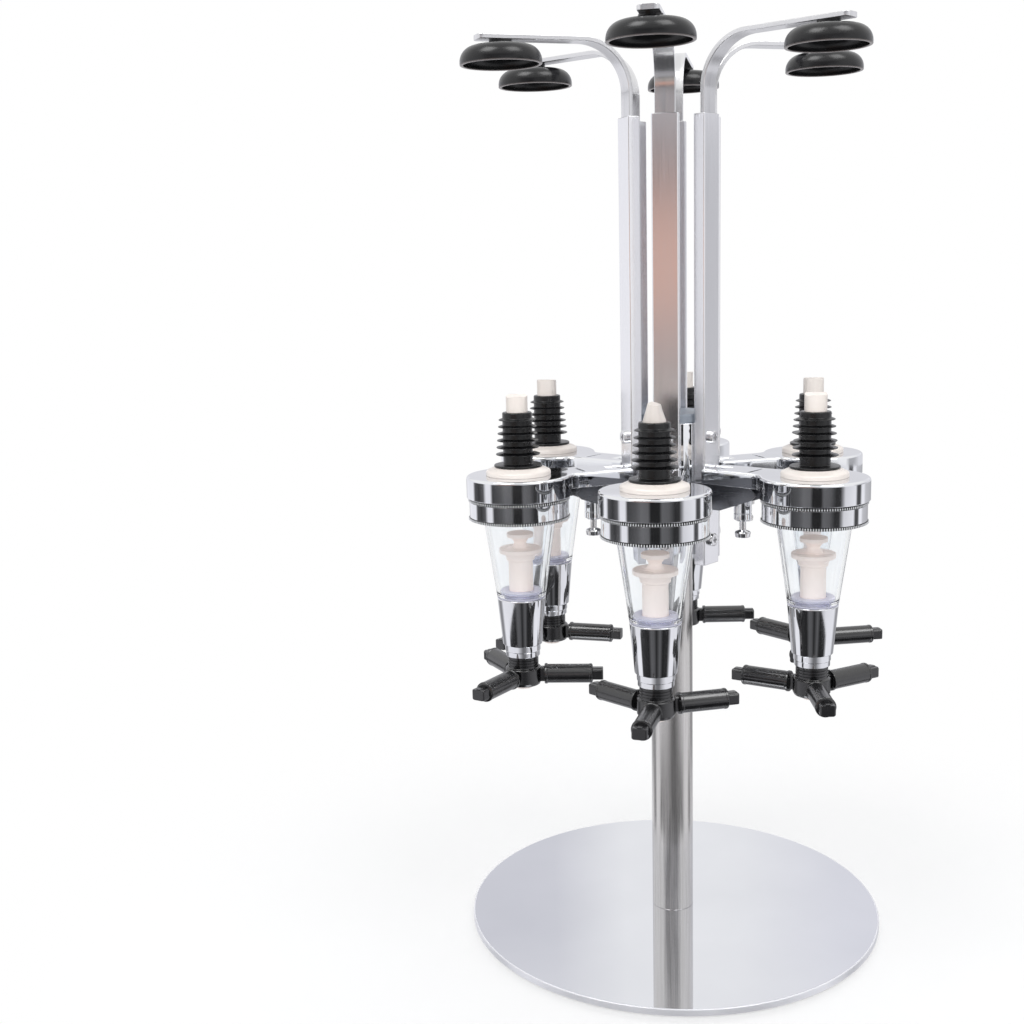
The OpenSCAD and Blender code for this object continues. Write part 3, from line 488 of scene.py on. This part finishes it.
def across(x, y, z):
    """Frame at a point of a station, its Z turned to point outwards."""
    return Matrix.Translation((x, y, z)) @ Matrix.Rotation(math.pi / 2, 4, "Y")


def sideways(x, y, z):
    """Frame at a point whose X and Y lie in the upright plane and whose Z points across it."""
    return Matrix.Translation((x, y, z)) @ Matrix.Rotation(math.pi / 2, 4, "X")


def stand():
    """Base plate and pole."""
    plate = lathe(fillet([(3.3, 1), (124.2, 1), (124.2, 5), (3.3, 5)]), 256)
    piece("plate_form", mesh_of("plate_form", plate), "mirror_steel", "base", ["base_plate"])
    rim = mesh_of("rim_form", lathe(fillet([(124.1, 1), (125, 1, 0.8), (125, 4.9, 0.7), (124.1, 4.95)]), 256))
    rim.materials.append(RIM)
    piece("rim_form", rim, "mirror_steel", "base", ["base_plate"])
    tube = lathe(fillet([(11, 5), (12.5, 5, 0.3), (12.5, 299, 0.3), (11, 299)]), 128)
    piece("pole_form", mesh_of("pole_form", tube), "satin_steel", "base", ["pole"])


def centre():
    """Hub drum with its six flats, and its cap."""
    radius = 23
    half = math.degrees(math.acos(FLATS / radius))
    outline = []
    for k in STATIONS:
        outline += arc(radius, 60 * k + half, 60 * k + 60 - half, 8)
    drum = slab(outline, 232, 309, 0.5, 0.5, holes=[ring(14.5, 64)])
    piece("hub_form", mesh_of("hub_form", placed(drum, turn_z(-90))), "chrome", "carousel", ["hub"])
    profile = fillet([(0, 306.3), (6.95, 306.3), (6.95, 309), (20.6, 309, 0.3), (20.6, 314, 1.0), (0, 314)])
    piece("cap_form", mesh_of("cap_form", lathe(profile)), "cap_grey", "carousel", ["hub_cap"])


def upright_shape():
    """Box tube with its inner stop ledge."""
    tube = slab(box(FLATS, FACE, -7.5, 7.5, 0.9), 226, 480, 0.3, 0.3, holes=[box(22.4, 27.4, -6.3, 6.3, 0.4)])
    ledge = slab(box(22.3, 24.0, -4, 4), 425.1, 428.1, 0.2, 0.2)
    return joined(tube, ledge)


def screw_shape():
    """Pan head with a cross recess, and its shank, along Z from the face it sits on."""
    w, l = 0.42, 1.75
    cross = [(l, -w), (l, w), (w, w), (w, l), (-w, l), (-w, w),
             (-l, w), (-l, -w), (-w, -w), (-w, -l), (w, -l), (w, -w)]
    head = slab(ring(3.8, 48), 0.0, 2.4, 0.9, 0.0, pits=[(cross, 1.3)], steps=6)
    shank = lathe(fillet([(0, -6.6), (2.0, -6.6, 0.3), (2.0, 0.2), (0, 0.2)]), 32)
    return joined(head, shank)


def bracket_shape():
    """Folded channel: two cheeks with a hole, under a plate with the plunger's hole."""
    outline = fillet([(21.8, 260, 0.8), (39.6, 260, 2), (60.1, 267.5, 2), (63.6, 271, 1.2),
                      (57.4, 275, 1.5), (21.8, 275, 0.5)])
    hole = ring(1.3, 24, 46.6, 265.4)
    cheek = slab(outline, 0, 1.5, 0.25, 0.25, holes=[hole])
    plate = slab(box(FACE, 57.4, -8.2, 8.2, 0.5), 273.5, 274.96, 0.2, 0.2, holes=[ring(2.6, 32, LOCKS, 0)])
    return joined(placed(cheek, sideways(0, 9, 0)), placed(cheek, sideways(0, -7.5, 0)), plate)


def rivet_shape():
    """Two blind rivets with domed heads, along Y."""
    half = lathe(fillet([(0, 6.1), (2.0, 6.1), (2.0, 9.0), (3.2, 9.0), (3.2, 10.2, 1.0), (0, 10.2)]), 40)
    turn = sideways(24.9, 0, 267)
    return joined(placed(half, turn), placed(half, turn @ Matrix.Rotation(math.pi, 4, "X")))


def holder_outline(pocket):
    """Keyhole plan of a holder, with a notch of a given width in its root."""
    reach = math.sqrt(39.8 ** 2 - 22 ** 2)
    half = math.degrees(math.atan2(22, reach))
    side = arc(10, 90, half, 8, MEASURES - reach, -22)
    eye = arc(29.77, 180 + half, 540 - half, 72, MEASURES, 0)
    other = arc(10, -half, -90, 8, MEASURES - reach, 22)
    root = [(28.9, 11)]
    if pocket:
        root += [(28.9, pocket), (39.9, pocket), (39.9, -pocket), (28.9, -pocket)]
    return side + eye[1:] + other[1:] + root + [(28.9, -11)]


def holder_shape():
    """Keyhole arm: floor, pocket and top of the neck, ring and skirt."""
    eye = [ring(14.3, 64, MEASURES, 0)]
    pin = ring(2.6, 32, LOCKS, 0)
    floor = slab(holder_outline(0), 275, 277, 0, 0.3, holes=eye + [pin])
    middle = slab(holder_outline(8), 277, 281.1, holes=eye + [pin])
    groove = box(56.6, 58.6, -8, 8, 0.8)
    top = slab(holder_outline(3.5), 281.1, 283.5, 1.5, 0, holes=eye, pits=[(groove, 1.2)], steps=6)
    skirt = lathe(fillet([(22.2, 264), (26, 264, 0.3), (26, 271), (29.8, 271, 0.5), (29.8, 282.0),
                          (22.2, 282.0)]), 144)
    return joined(floor, middle, top, placed(skirt, Matrix.Translation((MEASURES, 0, 0))))


def nut_shape():
    """Ring nut: mirror band between two grooves for the knurled beads, over a lip under the chamber's flange."""
    return lathe(fillet([(21.3, 258.3, 0.4), (27.9, 258.3, 0.3), (28.0, 260.1), (28.4, 260.2, 0.1),
                         (28.4, 268.9, 0.1), (28.0, 269.0), (27.9, 270.8, 0.3), (26.05, 270.8),
                         (26.05, 260.7), (21.3, 260.7)]), 192)


def beads_shape():
    """The two knurled beads of a ring nut."""
    return joined(knurl(28.1, 29.0, 258.35, 260.1, 128, 27.4), knurl(28.1, 29.0, 269.0, 270.75, 128, 27.4))


def chamber_shape():
    """Clear measuring cone with flange."""
    return lathe(fillet([(9.9, 213.2), (14.14, 213.2, 0.2), (21, 260.8, 0.5), (25.7, 260.8, 0.2),
                         (25.7, 262.8, 0.2), (19.27, 262.8, 0.3), (12.34, 214.7, 1.5), (9.9, 214.7)]), 144)


def washer_shape():
    """Milky foot of a chamber with its spigot, and the washer on its floor."""
    return lathe(fillet([(7.3, 202, 0.3), (9.9, 202, 0.5), (9.9, 212.2), (14, 212.2, 0.4), (14.1, 213.15),
                         (9.85, 213.15), (9.85, 214.75), (11.9, 214.75, 0.4), (12.2, 216.6, 0.4),
                         (7.35, 216.6, 0.3)]), 112)


def inlet_shape(turn):
    """Seat, cone, collar, tube and chisel tip of an inlet."""
    lower = fillet([(2.6, 255.5), (8.4, 255.5, 0.5), (8.4, 259.5, 0.4), (14, 265.1, 0.5), (14, 283.5),
                    (18.4, 283.5, 0.4), (18.4, 286.0, 1.4), (13.7, 288.1, 1.0), (5, 288.1), (5, 320.0), (2.6, 320.0)])
    width = box(-6.1, 6.1, -6.1, 6.1, 6.09)
    rows = [(319.1, 0.0, 6.1), (319.7, 0.0, 6.1), (328.6, 0.0, 2.7), (328.8, 0.15, 2.6)]
    verts = []
    for z, shrink, reach in rows:
        for x, y in width:
            px = max(-reach, min(reach, x))
            slant = -1.4 * (px + reach) / (2 * reach) if z > 325 else 0.0
            verts.append((px * (1 - shrink * 0.3), y * (1 - shrink * 0.2), z + slant + (0.3 if shrink else 0.0)))
    return joined(lathe(lower, 96), placed(tube(verts, len(width)), turn_z(turn)))


def bung_shape():
    """Rubber stopper with six thin drooping ribs and a base flange."""
    profile = [(5.1, 288.1), (13.7, 288.1, 0.5), (13.7, 289.5, 0.5), (8.4, 289.8, 0.6)]
    last, top, pitch = 5, 315.3, 3.9
    widest, narrowest = 12.5, 10.5
    for i in range(last + 1):
        z = top - pitch * (last - i)
        out = widest + (narrowest - widest) * i / last
        profile += [(8.4, z - 0.55, 0.3), (out, z - 0.7, 0.15), (out, z - 0.3, 0.15), (8.4, z + 0.55, 0.4)]
    profile += [(8.4, 319.1, 0.7), (5.1, 319.1)]
    return lathe(fillet(profile, 3), 112)


def sleeve_shape():
    """Tapered chrome sleeve."""
    return lathe(fillet([(9.98, 184.2), (11.4, 184.2, 0.4), (14, 212.2, 0.8), (9.98, 212.2, 0.2)]), 112)


def gland_shape():
    """Stepped ring that closes the sleeve."""
    return lathe(fillet([(9.25, 177.2, 0.2), (9.9, 177.2, 0.5), (9.9, 180.2, 0.2), (10.3, 180.5, 0.2),
                         (10.3, 184.2, 0.2), (9.85, 184.2), (9.85, 188.7, 0.2), (9.25, 188.7, 0.2)]), 96)


def valve_shape():
    """Hollow valve stem with stop collar, sealing disc and upper plug."""
    return lathe(fillet([(0, 206), (3.2, 206), (3.2, 157.6, 0.2), (5, 157.6, 0.3), (5, 189), (9.6, 189, 0.3),
                         (9.6, 190.8, 0.3), (7, 190.8), (7, 233.7, 0.5), (8.2, 234.5, 0.3), (8.2, 235.7, 0.3),
                         (9.6, 238.5, 0.5), (12.2, 238.7, 0.4), (12.2, 241.2, 0.5), (5.0, 241.5, 1.0),
                         (3.2, 244.4, 1.5), (5.6, 247.4, 0.4), (7.6, 247.6, 0.3), (7.6, 250, 0.5), (0, 250)]), 96)


def trigger_shape():
    """Hub with ring grooves and a wide foot, and three arms whose ends are square."""
    grooves = []
    for z in (171.6, 173.3, 175.0):
        grooves += [(8.95, z), (8.6, z + 0.25), (8.6, z + 0.55), (8.95, z + 0.8)]
    hub = lathe(fillet([(5.05, 159.8), (9.6, 159.8, 0.8), (10.4, 161.6, 0.5), (10.4, 169.7, 0.8),
                        (8.95, 170.5, 0.3)] + grooves + [(8.95, 188.7, 0.5), (5.05, 188.7)]), 96)
    arm = box(-4.2, 4.2, -3, 3, 1.0)
    ridge = fillet([(-1.6, 2.6), (1.6, 2.6), (1.2, 3.4, 0.3), (-1.2, 3.4, 0.3)])
    x, y, z = Vector((1, 0, 0)), Vector((0, 1, 0)), Vector((0, 0, 1))
    level = Vector((0, 0, ARMS))

    def bar(section, x0, x1, end):
        rows = [(level + x * x0, y, z, 1.0), (level + x * (x1 - end), y, z, 1.0)]
        for s in range(1, 5):
            a = math.pi / 2 * s / 4
            rows.append((level + x * (x1 - end + end * math.sin(a)), y, z, 1 - (end / 4) * (1 - math.cos(a))))
        return sweep(section, rows)

    root = box(-2.5, 2.5, -4.3, 4.2, 1.0)
    one = joined(bar(arm, 12.0, 46.5, 1.0), bar(ridge, 38.0, 46.0, 0.5), bar(root, 6.0, 13.6, 0.4))
    return joined(hub, threefold(one))


def grips_shape():
    """Three rubber sleeves with a flange at the inner end and a soft lip at the outer one."""
    sleeve = lathe(fillet([(2.9, 12.4), (5.9, 12.4, 0.4), (6.0, 13.9, 0.4), (5.5, 14.2, 0.2), (5.5, 38.4),
                           (5.7, 38.7, 0.2), (5.7, 40.0, 0.6), (4.6, 40.5, 0.3), (2.9, 40.5)]), 64)
    return threefold(placed(sleeve, across(0, 0, ARMS)))


def plunger_shape():
    """Pull pin with stem and flared button."""
    return lathe(fillet([(0, 244.5), (4.2, 244.5, 0.4), (4.6, 247.0, 0.3), (4.2, 247.7, 0.3), (1.9, 248.6, 0.4),
                         (1.9, 253.6), (2.15, 253.8), (2.15, 271.2), (3.8, 271.2), (3.8, 273.2), (2.15, 273.2),
                         (2.15, 279, 0.4), (0, 279)]), 56)


def housing_shape():
    """Plunger housing with a stepped foot."""
    return lathe(fillet([(2.6, 253.9), (3.6, 253.9, 0.3), (3.8, 254.7), (5.1, 254.7, 0.5), (5.1, 258.2, 0.15),
                         (4.85, 258.4), (4.85, 258.8), (5.1, 259.0, 0.15), (5.1, 273.5, 0.2),
                         (4.2, 273.5), (4.2, 256.2), (2.6, 256.2)]), 64)


def lift_shape():
    """Flat bar, bent once, with a hooked foot and a rounded tip."""
    bend_x, bend_z, bend_r = 53.1, 493.3, 26
    foot_z, tip_x, corner = 302.8, 113, 3.0
    thick, wide = 2.6, 11.4
    section = box(-wide / 2, wide / 2, -thick / 2, thick / 2, 0.45)
    y = Vector((0, 1, 0))
    mid = bend_r + thick / 2
    path = [(Vector((bend_x - mid, 0, z)), y, Vector((-1, 0, 0)), 1.0) for z in (foot_z, 400, 470)]
    for s in range(25):
        a = math.radians(180 - 90 * s / 24)
        out = Vector((math.cos(a), 0, math.sin(a)))
        path.append((Vector((bend_x, 0, bend_z)) + out * mid, y, out, 1.0))
    for s in range(9):
        d = corner * (1 - math.sin(math.pi / 2 * s / 8))
        scale = (wide / 2 - corner + math.sqrt(max(corner ** 2 - (corner - d) ** 2, 0.02))) / (wide / 2)
        path.append((Vector((tip_x - d, 0, bend_z + mid)), y, Vector((0, 0, 1)), scale))
    foot = slab(box(22.7, 27.1, -5.7, 5.7, 0.4), foot_z, 314.8, 0.3, 0.3)
    return joined(sweep(section, path), foot)


def cup_shape():
    """Hollow cup with a soft shoulder, boss, neck and the stud through the bar."""
    turn_r, turn_height = 14.1, 508.3
    shoulder = arc(8.2, 0, 90, 14, turn_r, turn_height)
    under = arc(6.4, 90, 0, 14, turn_r, turn_height)
    outer = fillet([(9.4, 516.5), (7.8, 516.7, 0.3), (7.8, 517.7, 0.4), (6.2, 517.9, 0.2), (6.2, 519.25),
                    (2.5, 519.25), (2.5, 522, 0.4), (0, 522), (0, 514.7)], 4)
    rim = fillet([(20.5, 507.5), (20.5, 506.5, 0.3), (22.3, 506.5, 0.5), (22.3, 507.5)], 4)
    return lathe(rim + shoulder + outer + under, 128)


def carousel():
    """Every fixed piece of the six stations."""
    up = mesh_of("upright_form", upright_shape())
    screw = mesh_of("screw_form", screw_shape())
    bracket = mesh_of("bracket_form", bracket_shape())
    rivet = mesh_of("rivet_form", rivet_shape())
    holder = mesh_of("holder_form", holder_shape(), 28)
    nut = mesh_of("nut_form", nut_shape(), 25)
    beads = mesh_of("beads_form", beads_shape(), 25)
    beads.materials.append(KNURLED)
    washer = mesh_of("washer_form", washer_shape())
    washer.materials.append(WASHER_PAINTED_GLOW)
    chamber = mesh_of("chamber_form", chamber_shape(), 40)
    bung = mesh_of("bung_form", bung_shape(), 40)
    sleeve = mesh_of("sleeve_form", sleeve_shape())
    gland = mesh_of("gland_form", gland_shape())
    housing = mesh_of("housing_form", housing_shape())
    rides = "carousel"
    for k in STATIONS:
        n = k + 1
        piece(f"upright_form_{n}", up, "aluminium", rides, ["uprights"], station(k))
        for level, z in (("low", 240.5), ("high", 300.5)):
            piece(f"screw_{level}_{n}", screw, "screw_steel", rides, ["upright_screws"],
                  station(k) @ across(FACE * MM, 0, z * MM))
        piece(f"bracket_form_{n}", bracket, "bracket_steel", rides, ["brackets"], station(k))
        piece(f"rivet_form_{n}", rivet, "screw_steel", rides, ["bracket_rivets"], station(k))
        piece(f"holder_form_{n}", holder, "chrome", rides, ["holders"], station(k))
        piece(f"nut_form_{n}", nut, "chrome", rides, ["ring_nuts"], axis(k))
        piece(f"beads_form_{n}", beads, "chrome", rides, ["ring_nuts"], axis(k))
        clear = piece(f"chamber_form_{n}", chamber, "clear_plastic", rides, ["chambers"], axis(k))
        clear.visible_shadow = clear.visible_diffuse = False
        piece(f"washer_form_{n}", washer, "clear_plastic", rides, ["chambers"], axis(k))
        inlet = mesh_of(f"inlet_form_{n}", inlet_shape(TIP_TURNS[k]), 35)
        piece(f"inlet_form_{n}", inlet, "ivory_plastic", rides, ["inlet_tubes"], axis(k))
        piece(f"bung_form_{n}", bung, "bung_rubber", rides, ["bungs"], axis(k))
        piece(f"sleeve_form_{n}", sleeve, "chrome", rides, ["nozzle_sleeves"], axis(k))
        piece(f"gland_form_{n}", gland, "chrome", rides, ["nozzle_rings"], axis(k))
        piece(f"housing_form_{n}", housing, "chrome", rides, ["plunger_housings"], axis(k, LOCKS))


def movers():
    """Lift arms, cups, valves, triggers, grips and plungers."""
    bar = mesh_of("lift_bar", lift_shape())
    cup = mesh_of("cup_form", cup_shape(), 40)
    valve = mesh_of("valve_form", valve_shape())
    valve.materials.append(VALVE_PAINTED_LIGHT)
    trigger, grips = trigger_shape(), grips_shape()
    plunger = mesh_of("plunger_form", plunger_shape())
    for k in STATIONS:
        n = k + 1
        turned = station(k) @ Matrix.Translation((MEASURES, 0, 0)) @ turn_z(TRIGGER_TURNS[k])
        piece(f"lift_bar_{n}", bar, "plated_steel", f"lift_{n}", [f"lift_arm_{n}"], station(k))
        piece(f"cup_form_{n}", cup, "cup_black", f"lift_{n}", [f"cup_{n}"], axis(k, CUPS))
        piece(f"valve_form_{n}", valve, "ivory_plastic", f"trigger_{n}", [f"valve_{n}"], axis(k))
        mesh = mesh_of(f"trigger_form_{n}", placed(trigger, turned))
        piece(f"trigger_form_{n}", mesh, "trigger_black", f"trigger_{n}", [f"trigger_{n}"])
        mesh = mesh_of(f"grips_form_{n}", placed(grips, turned))
        piece(f"grips_form_{n}", mesh, "grip_rubber", f"trigger_{n}", [f"grips_{n}"])
        piece(f"plunger_form_{n}", plunger, "screw_steel", f"plunger_{n}", [f"plunger_{n}"],
              axis(k, LOCKS))


def springs():
    """Coiled wire for the arm, trigger and plunger springs of each station."""
    for k in STATIONS:
        n = k + 1
        frame_k = station(k)
        wound = placed(coil(1.35, 0.3, 7, 242.8, 302.75), Matrix.Translation(ARM_COIL))
        mesh = mesh_of(f"arm_coil_{n}", placed(wound, frame_k))
        mesh.materials.append(MATERIALS["spring_steel"])
        arm = put(f"arm_coil_{n}", mesh)
        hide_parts("arm_springs")
        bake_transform(arm)
        short = placed(coil(8.45, 0.55, 4, 190.85, 201.95), Matrix.Translation((MEASURES, 0, 0)))
        mesh = mesh_of(f"trigger_coil_{n}", placed(short, frame_k))
        obj = piece(f"trigger_coil_{n}", mesh, "spring_steel", "carousel", ["trigger_springs"])
        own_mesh(obj)
        lock = placed(coil(3.1, 0.35, 4, 256.25, 271.15), Matrix.Translation((LOCKS, 0, 0)))
        mesh = mesh_of(f"plunger_coil_{n}", placed(lock, frame_k))
        obj = piece(f"plunger_coil_{n}", mesh, "spring_steel", "carousel", ["plunger_springs"])
        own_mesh(obj)


def carried_over():
    """Inner CAD pieces that stay as they are, with their finish."""
    for node, slot in (("base_pad", "pad_rubber"), ("tie_rod", "screw_steel"), ("pivot_plug", "aluminium"),
                       ("hub_bushes", "bush_white"), ("chamber_seals", "seal_rubber")):
        obj = frame["nodes"][node]
        obj.data.materials.clear()
        obj.data.materials.append(MATERIALS[slot])


# Studio

def camera():
    """Camera at the photograph's place, level of view and slight roll."""
    data = bpy.data.cameras.new("camera")
    data.lens = 47.157
    data.sensor_width = 36
    data.clip_start = 0.05
    pitch, roll = math.radians(10.53), math.radians(1.52)
    right = Vector((0.9782, 0.2076, 0)).normalized()
    level = Vector((-right.y, right.x, 0))
    forward = level * math.cos(pitch) - Vector((0, 0, math.sin(pitch)))
    down = forward.cross(right)
    x = right * math.cos(roll) + down * math.sin(roll)
    y = right * math.sin(roll) - down * math.cos(roll)
    obj = put("camera", data)
    obj.matrix_world = Matrix.Translation((0.0702, -0.7865, 0.402)) @ Matrix((x, y, -forward)).transposed().to_4x4()
    bpy.context.scene.camera = obj


def lamp(name, place, aim, size, power):
    """Soft square lamp."""
    data = bpy.data.lights.new(name, "AREA")
    data.energy = power
    data.size = size
    obj = put(name, data)
    obj.location = place
    obj.rotation_euler = (Vector(aim) - Vector(place)).to_track_quat("-Z", "Y").to_euler()
    return obj


def lamps():
    """Key and fill from high up, and two lamps in front and behind that reflections don't show."""
    lamp("key", (-0.95, -1.05, 2.6), (0, 0, 0.25), 1.2, 25)
    lamp("fill", (1.15, -0.7, 2.5), (0, 0, 0.25), 1.2, 20)
    lamp("front", (0.15, -1.9, 0.7), (0, 0, 0.25), 1.4, 9).visible_glossy = False
    lamp("back", (0.4, 1.8, 1.7), (0, 0, 0.3), 1.4, 14).visible_glossy = False


def world():
    """White where it is seen, mirrored or looked through; a plain level of light elsewhere."""
    made = bpy.data.worlds.new("studio")
    bpy.context.scene.world = made
    made.use_nodes = True
    nodes, link = made.node_tree.nodes, made.node_tree.links.new
    nodes.clear()
    out = nodes.new("ShaderNodeOutputWorld")
    mix = nodes.new("ShaderNodeMixShader")
    soft, white = nodes.new("ShaderNodeBackground"), nodes.new("ShaderNodeBackground")
    soft.inputs["Color"].default_value = (0.96, 0.98, 1.0, 1)
    soft.inputs["Strength"].default_value = 0.5
    white.inputs["Color"].default_value = (1, 1, 1, 1)
    rays = nodes.new("ShaderNodeLightPath")
    either, any_of = nodes.new("ShaderNodeMath"), nodes.new("ShaderNodeMath")
    either.operation = any_of.operation = "MAXIMUM"
    link(rays.outputs["Is Camera Ray"], either.inputs[0])
    link(rays.outputs["Is Glossy Ray"], either.inputs[1])
    link(either.outputs["Value"], any_of.inputs[0])
    link(rays.outputs["Is Transmission Ray"], any_of.inputs[1])
    link(any_of.outputs["Value"], mix.inputs["Fac"])
    link(soft.outputs["Background"], mix.inputs[1])
    link(white.outputs["Background"], mix.inputs[2])
    link(mix.outputs["Shader"], out.inputs["Surface"])


def floor():
    """Pale round floor that fades into the background."""
    mat = bpy.data.materials.new("floor")
    mat.use_nodes = True
    nodes, link = mat.node_tree.nodes, mat.node_tree.links.new
    shader = nodes["Principled BSDF"]
    shader.inputs["Roughness"].default_value = 0.9
    shader.inputs["Specular IOR Level"].default_value = 0.1
    shader.inputs["Base Color"].default_value = (0.94, 0.94, 0.95, 1)
    coords = nodes.new("ShaderNodeTexCoord")
    length = nodes.new("ShaderNodeVectorMath")
    length.operation = "LENGTH"
    link(coords.outputs["Object"], length.inputs[0])
    fade = nodes.new("ShaderNodeMapRange")
    fade.interpolation_type = "SMOOTHSTEP"
    fade.inputs["From Min"].default_value = 0.15
    fade.inputs["From Max"].default_value = 0.42
    fade.inputs["To Min"].default_value = 0.22
    fade.inputs["To Max"].default_value = 0.0
    link(length.outputs["Value"], fade.inputs["Value"])
    link(fade.outputs["Result"], shader.inputs["Alpha"])
    disc = slab(ring(450, 96), -4, 0)
    mesh = mesh_of("floor", disc)
    mesh.materials.append(mat)
    obj = put("floor", mesh)
    obj.visible_glossy = False


def cards(name, bands, profile, fade=None):
    """Ring of cards seen only in reflections, with bands (share of the turn, tone) that may fade upwards to white."""
    mat = bpy.data.materials.new(name)
    mat.use_nodes = True
    nodes, link = mat.node_tree.nodes, mat.node_tree.links.new
    nodes.clear()
    out, glow = nodes.new("ShaderNodeOutputMaterial"), nodes.new("ShaderNodeEmission")
    coords, sweep_round = nodes.new("ShaderNodeTexCoord"), nodes.new("ShaderNodeTexGradient")
    sweep_round.gradient_type = "RADIAL"
    ramp = nodes.new("ShaderNodeValToRGB")
    stops = ramp.color_ramp.elements
    stops[0].position, stops[1].position = bands[0][0], bands[-1][0]
    for at, _ in bands[1:-1]:
        stops.new(at)
    for stop, (_, tone) in zip(stops, bands):
        stop.color = (*tone, 1) if isinstance(tone, tuple) else (tone * 0.98, tone * 0.98, min(1.0, tone * 1.03), 1)
    link(coords.outputs["Object"], sweep_round.inputs["Vector"])
    link(sweep_round.outputs["Fac"], ramp.inputs["Fac"])
    link(ramp.outputs["Color"], glow.inputs["Color"])
    if fade:
        split, level, blend = (nodes.new(f"ShaderNode{kind}") for kind in ("SeparateXYZ", "MapRange", "Mix"))
        level.inputs["From Min"].default_value = fade[0] * MM
        level.inputs["From Max"].default_value = fade[1] * MM
        blend.data_type = "RGBA"
        blend.inputs["B"].default_value = (1, 1, 1, 1)
        link(coords.outputs["Object"], split.inputs["Vector"])
        link(split.outputs["Z"], level.inputs["Value"])
        link(level.outputs["Result"], blend.inputs["Factor"])
        link(ramp.outputs["Color"], blend.inputs["A"])
        link(blend.outputs["Result"], glow.inputs["Color"])
    link(glow.outputs["Emission"], out.inputs["Surface"])
    mesh = mesh_of(name, lathe(profile, 128))
    mesh.materials.append(mat)
    obj = put(name, mesh)
    obj.rotation_euler = (0, 0, math.radians(CARD_TURN))
    obj.visible_camera = obj.visible_diffuse = obj.visible_transmission = False
    obj.visible_shadow = obj.visible_volume_scatter = False


def upright_ring(low, high):
    """Profile of a ring of cards between two heights."""
    return [(CARDS, low), (CARDS, high), (CARD_BACK, high), (CARD_BACK, low)]


def surroundings():
    """Cards at ten levels: base, arms, four for the uprights, then rings, bends, pole and sleeves."""
    white = (1.0, 1.0, 1.0)
    cards("cards_roof", [(0.00, white), (0.008, white), (0.02, 0.78), (0.06, 0.78), (0.12, white), (0.34, white),
                         (0.40, 0.25), (0.58, 0.25), (0.64, white), (0.95, 0.85), (0.972, 0.88), (0.99, white),
                         (1.00, white)], upright_ring(960, 1900), (1350, 1900))
    cards("cards_arm", [(0.00, 0.90), (0.38, 0.90), (0.40, 0.72), (0.50, 0.72), (0.52, 0.90), (1.00, 0.90)],
          upright_ring(750, 960))
    for name, front, low, high in (("cards_top", 0.12, 545, 750), ("cards_high", (0.82, 0.47, 0.36), 250, 545),
                                   ("cards_middle", 0.30, 60, 250), ("cards_level", (0.62, 0.59, 0.52), -90, 60)):
        cards(name, [(0.00, 0.75), (0.10, 0.92), (0.30, 1.00), (0.365, 1.00), (0.395, front), (0.475, front),
                     (0.51, 0.60), (0.54, 1.00), (0.715, 1.00), (0.745, 0.48), (0.79, 0.48), (0.85, 0.80),
                     (1.00, 0.75)], upright_ring(low, high))
    cards("cards_rings", [(0.00, 0.60), (0.06, 0.60), (0.10, 0.95), (0.19, 0.95), (0.21, 0.10), (0.25, 0.05),
                          (0.285, 0.12), (0.305, 0.90), (0.335, 0.90), (0.35, 0.06), (0.40, 0.10), (0.43, 0.16),
                          (0.465, 0.14), (0.48, 0.02), (0.525, 0.02), (0.54, 0.14), (0.575, 0.12), (0.61, 0.03),
                          (0.635, 0.04), (0.65, 0.30), (0.665, 0.75), (0.71, 0.85), (0.735, 0.90), (0.75, 0.08),
                          (0.775, 0.08), (0.79, 0.95), (0.81, 0.95), (0.83, 0.60), (0.93, 0.45), (1.00, 0.60)],
          upright_ring(-285, -90))
    cards("cards_under", [(0.00, 0.60), (0.10, 0.90), (0.30, 0.85), (0.46, 0.75), (0.50, 0.35), (0.56, 0.40),
                          (0.62, 0.80), (0.80, 0.90), (1.00, 0.60)], upright_ring(-420, -285))
    cards("cards_pole", [(0.00, 0.60), (0.10, 0.60), (0.14, 0.25), (0.19, 0.30), (0.23, 0.90), (0.42, 0.85),
                         (0.47, 0.45), (0.51, 0.18), (0.555, 0.20), (0.61, 0.60), (0.66, 0.85), (0.80, 0.90),
                         (0.85, 0.30), (0.90, 0.40), (1.00, 0.60)], upright_ring(-880, -420))
    cards("cards_low", [(0.00, 0.60), (0.10, 0.90), (0.15, 0.90), (0.17, 0.15), (0.20, 0.15), (0.22, 0.95),
                        (0.29, 0.95), (0.305, 0.04), (0.41, 0.02), (0.445, 0.12), (0.48, 0.10), (0.51, 0.02),
                        (0.555, 0.12), (0.59, 0.02), (0.66, 0.03), (0.685, 0.35), (0.70, 0.90), (0.77, 0.95),
                        (0.79, 0.15), (0.82, 0.15), (0.84, 0.80), (1.00, 0.60)],
          [(0, -1600), (1200, -1600), (CARDS, -880), (CARD_BACK, -880), (1200, -1620), (0, -1620)])


stand()
centre()
carousel()
movers()
springs()
carried_over()
camera()
world()
floor()
surroundings()
lamps()
bpy.context.scene.view_settings.view_transform = "Standard"
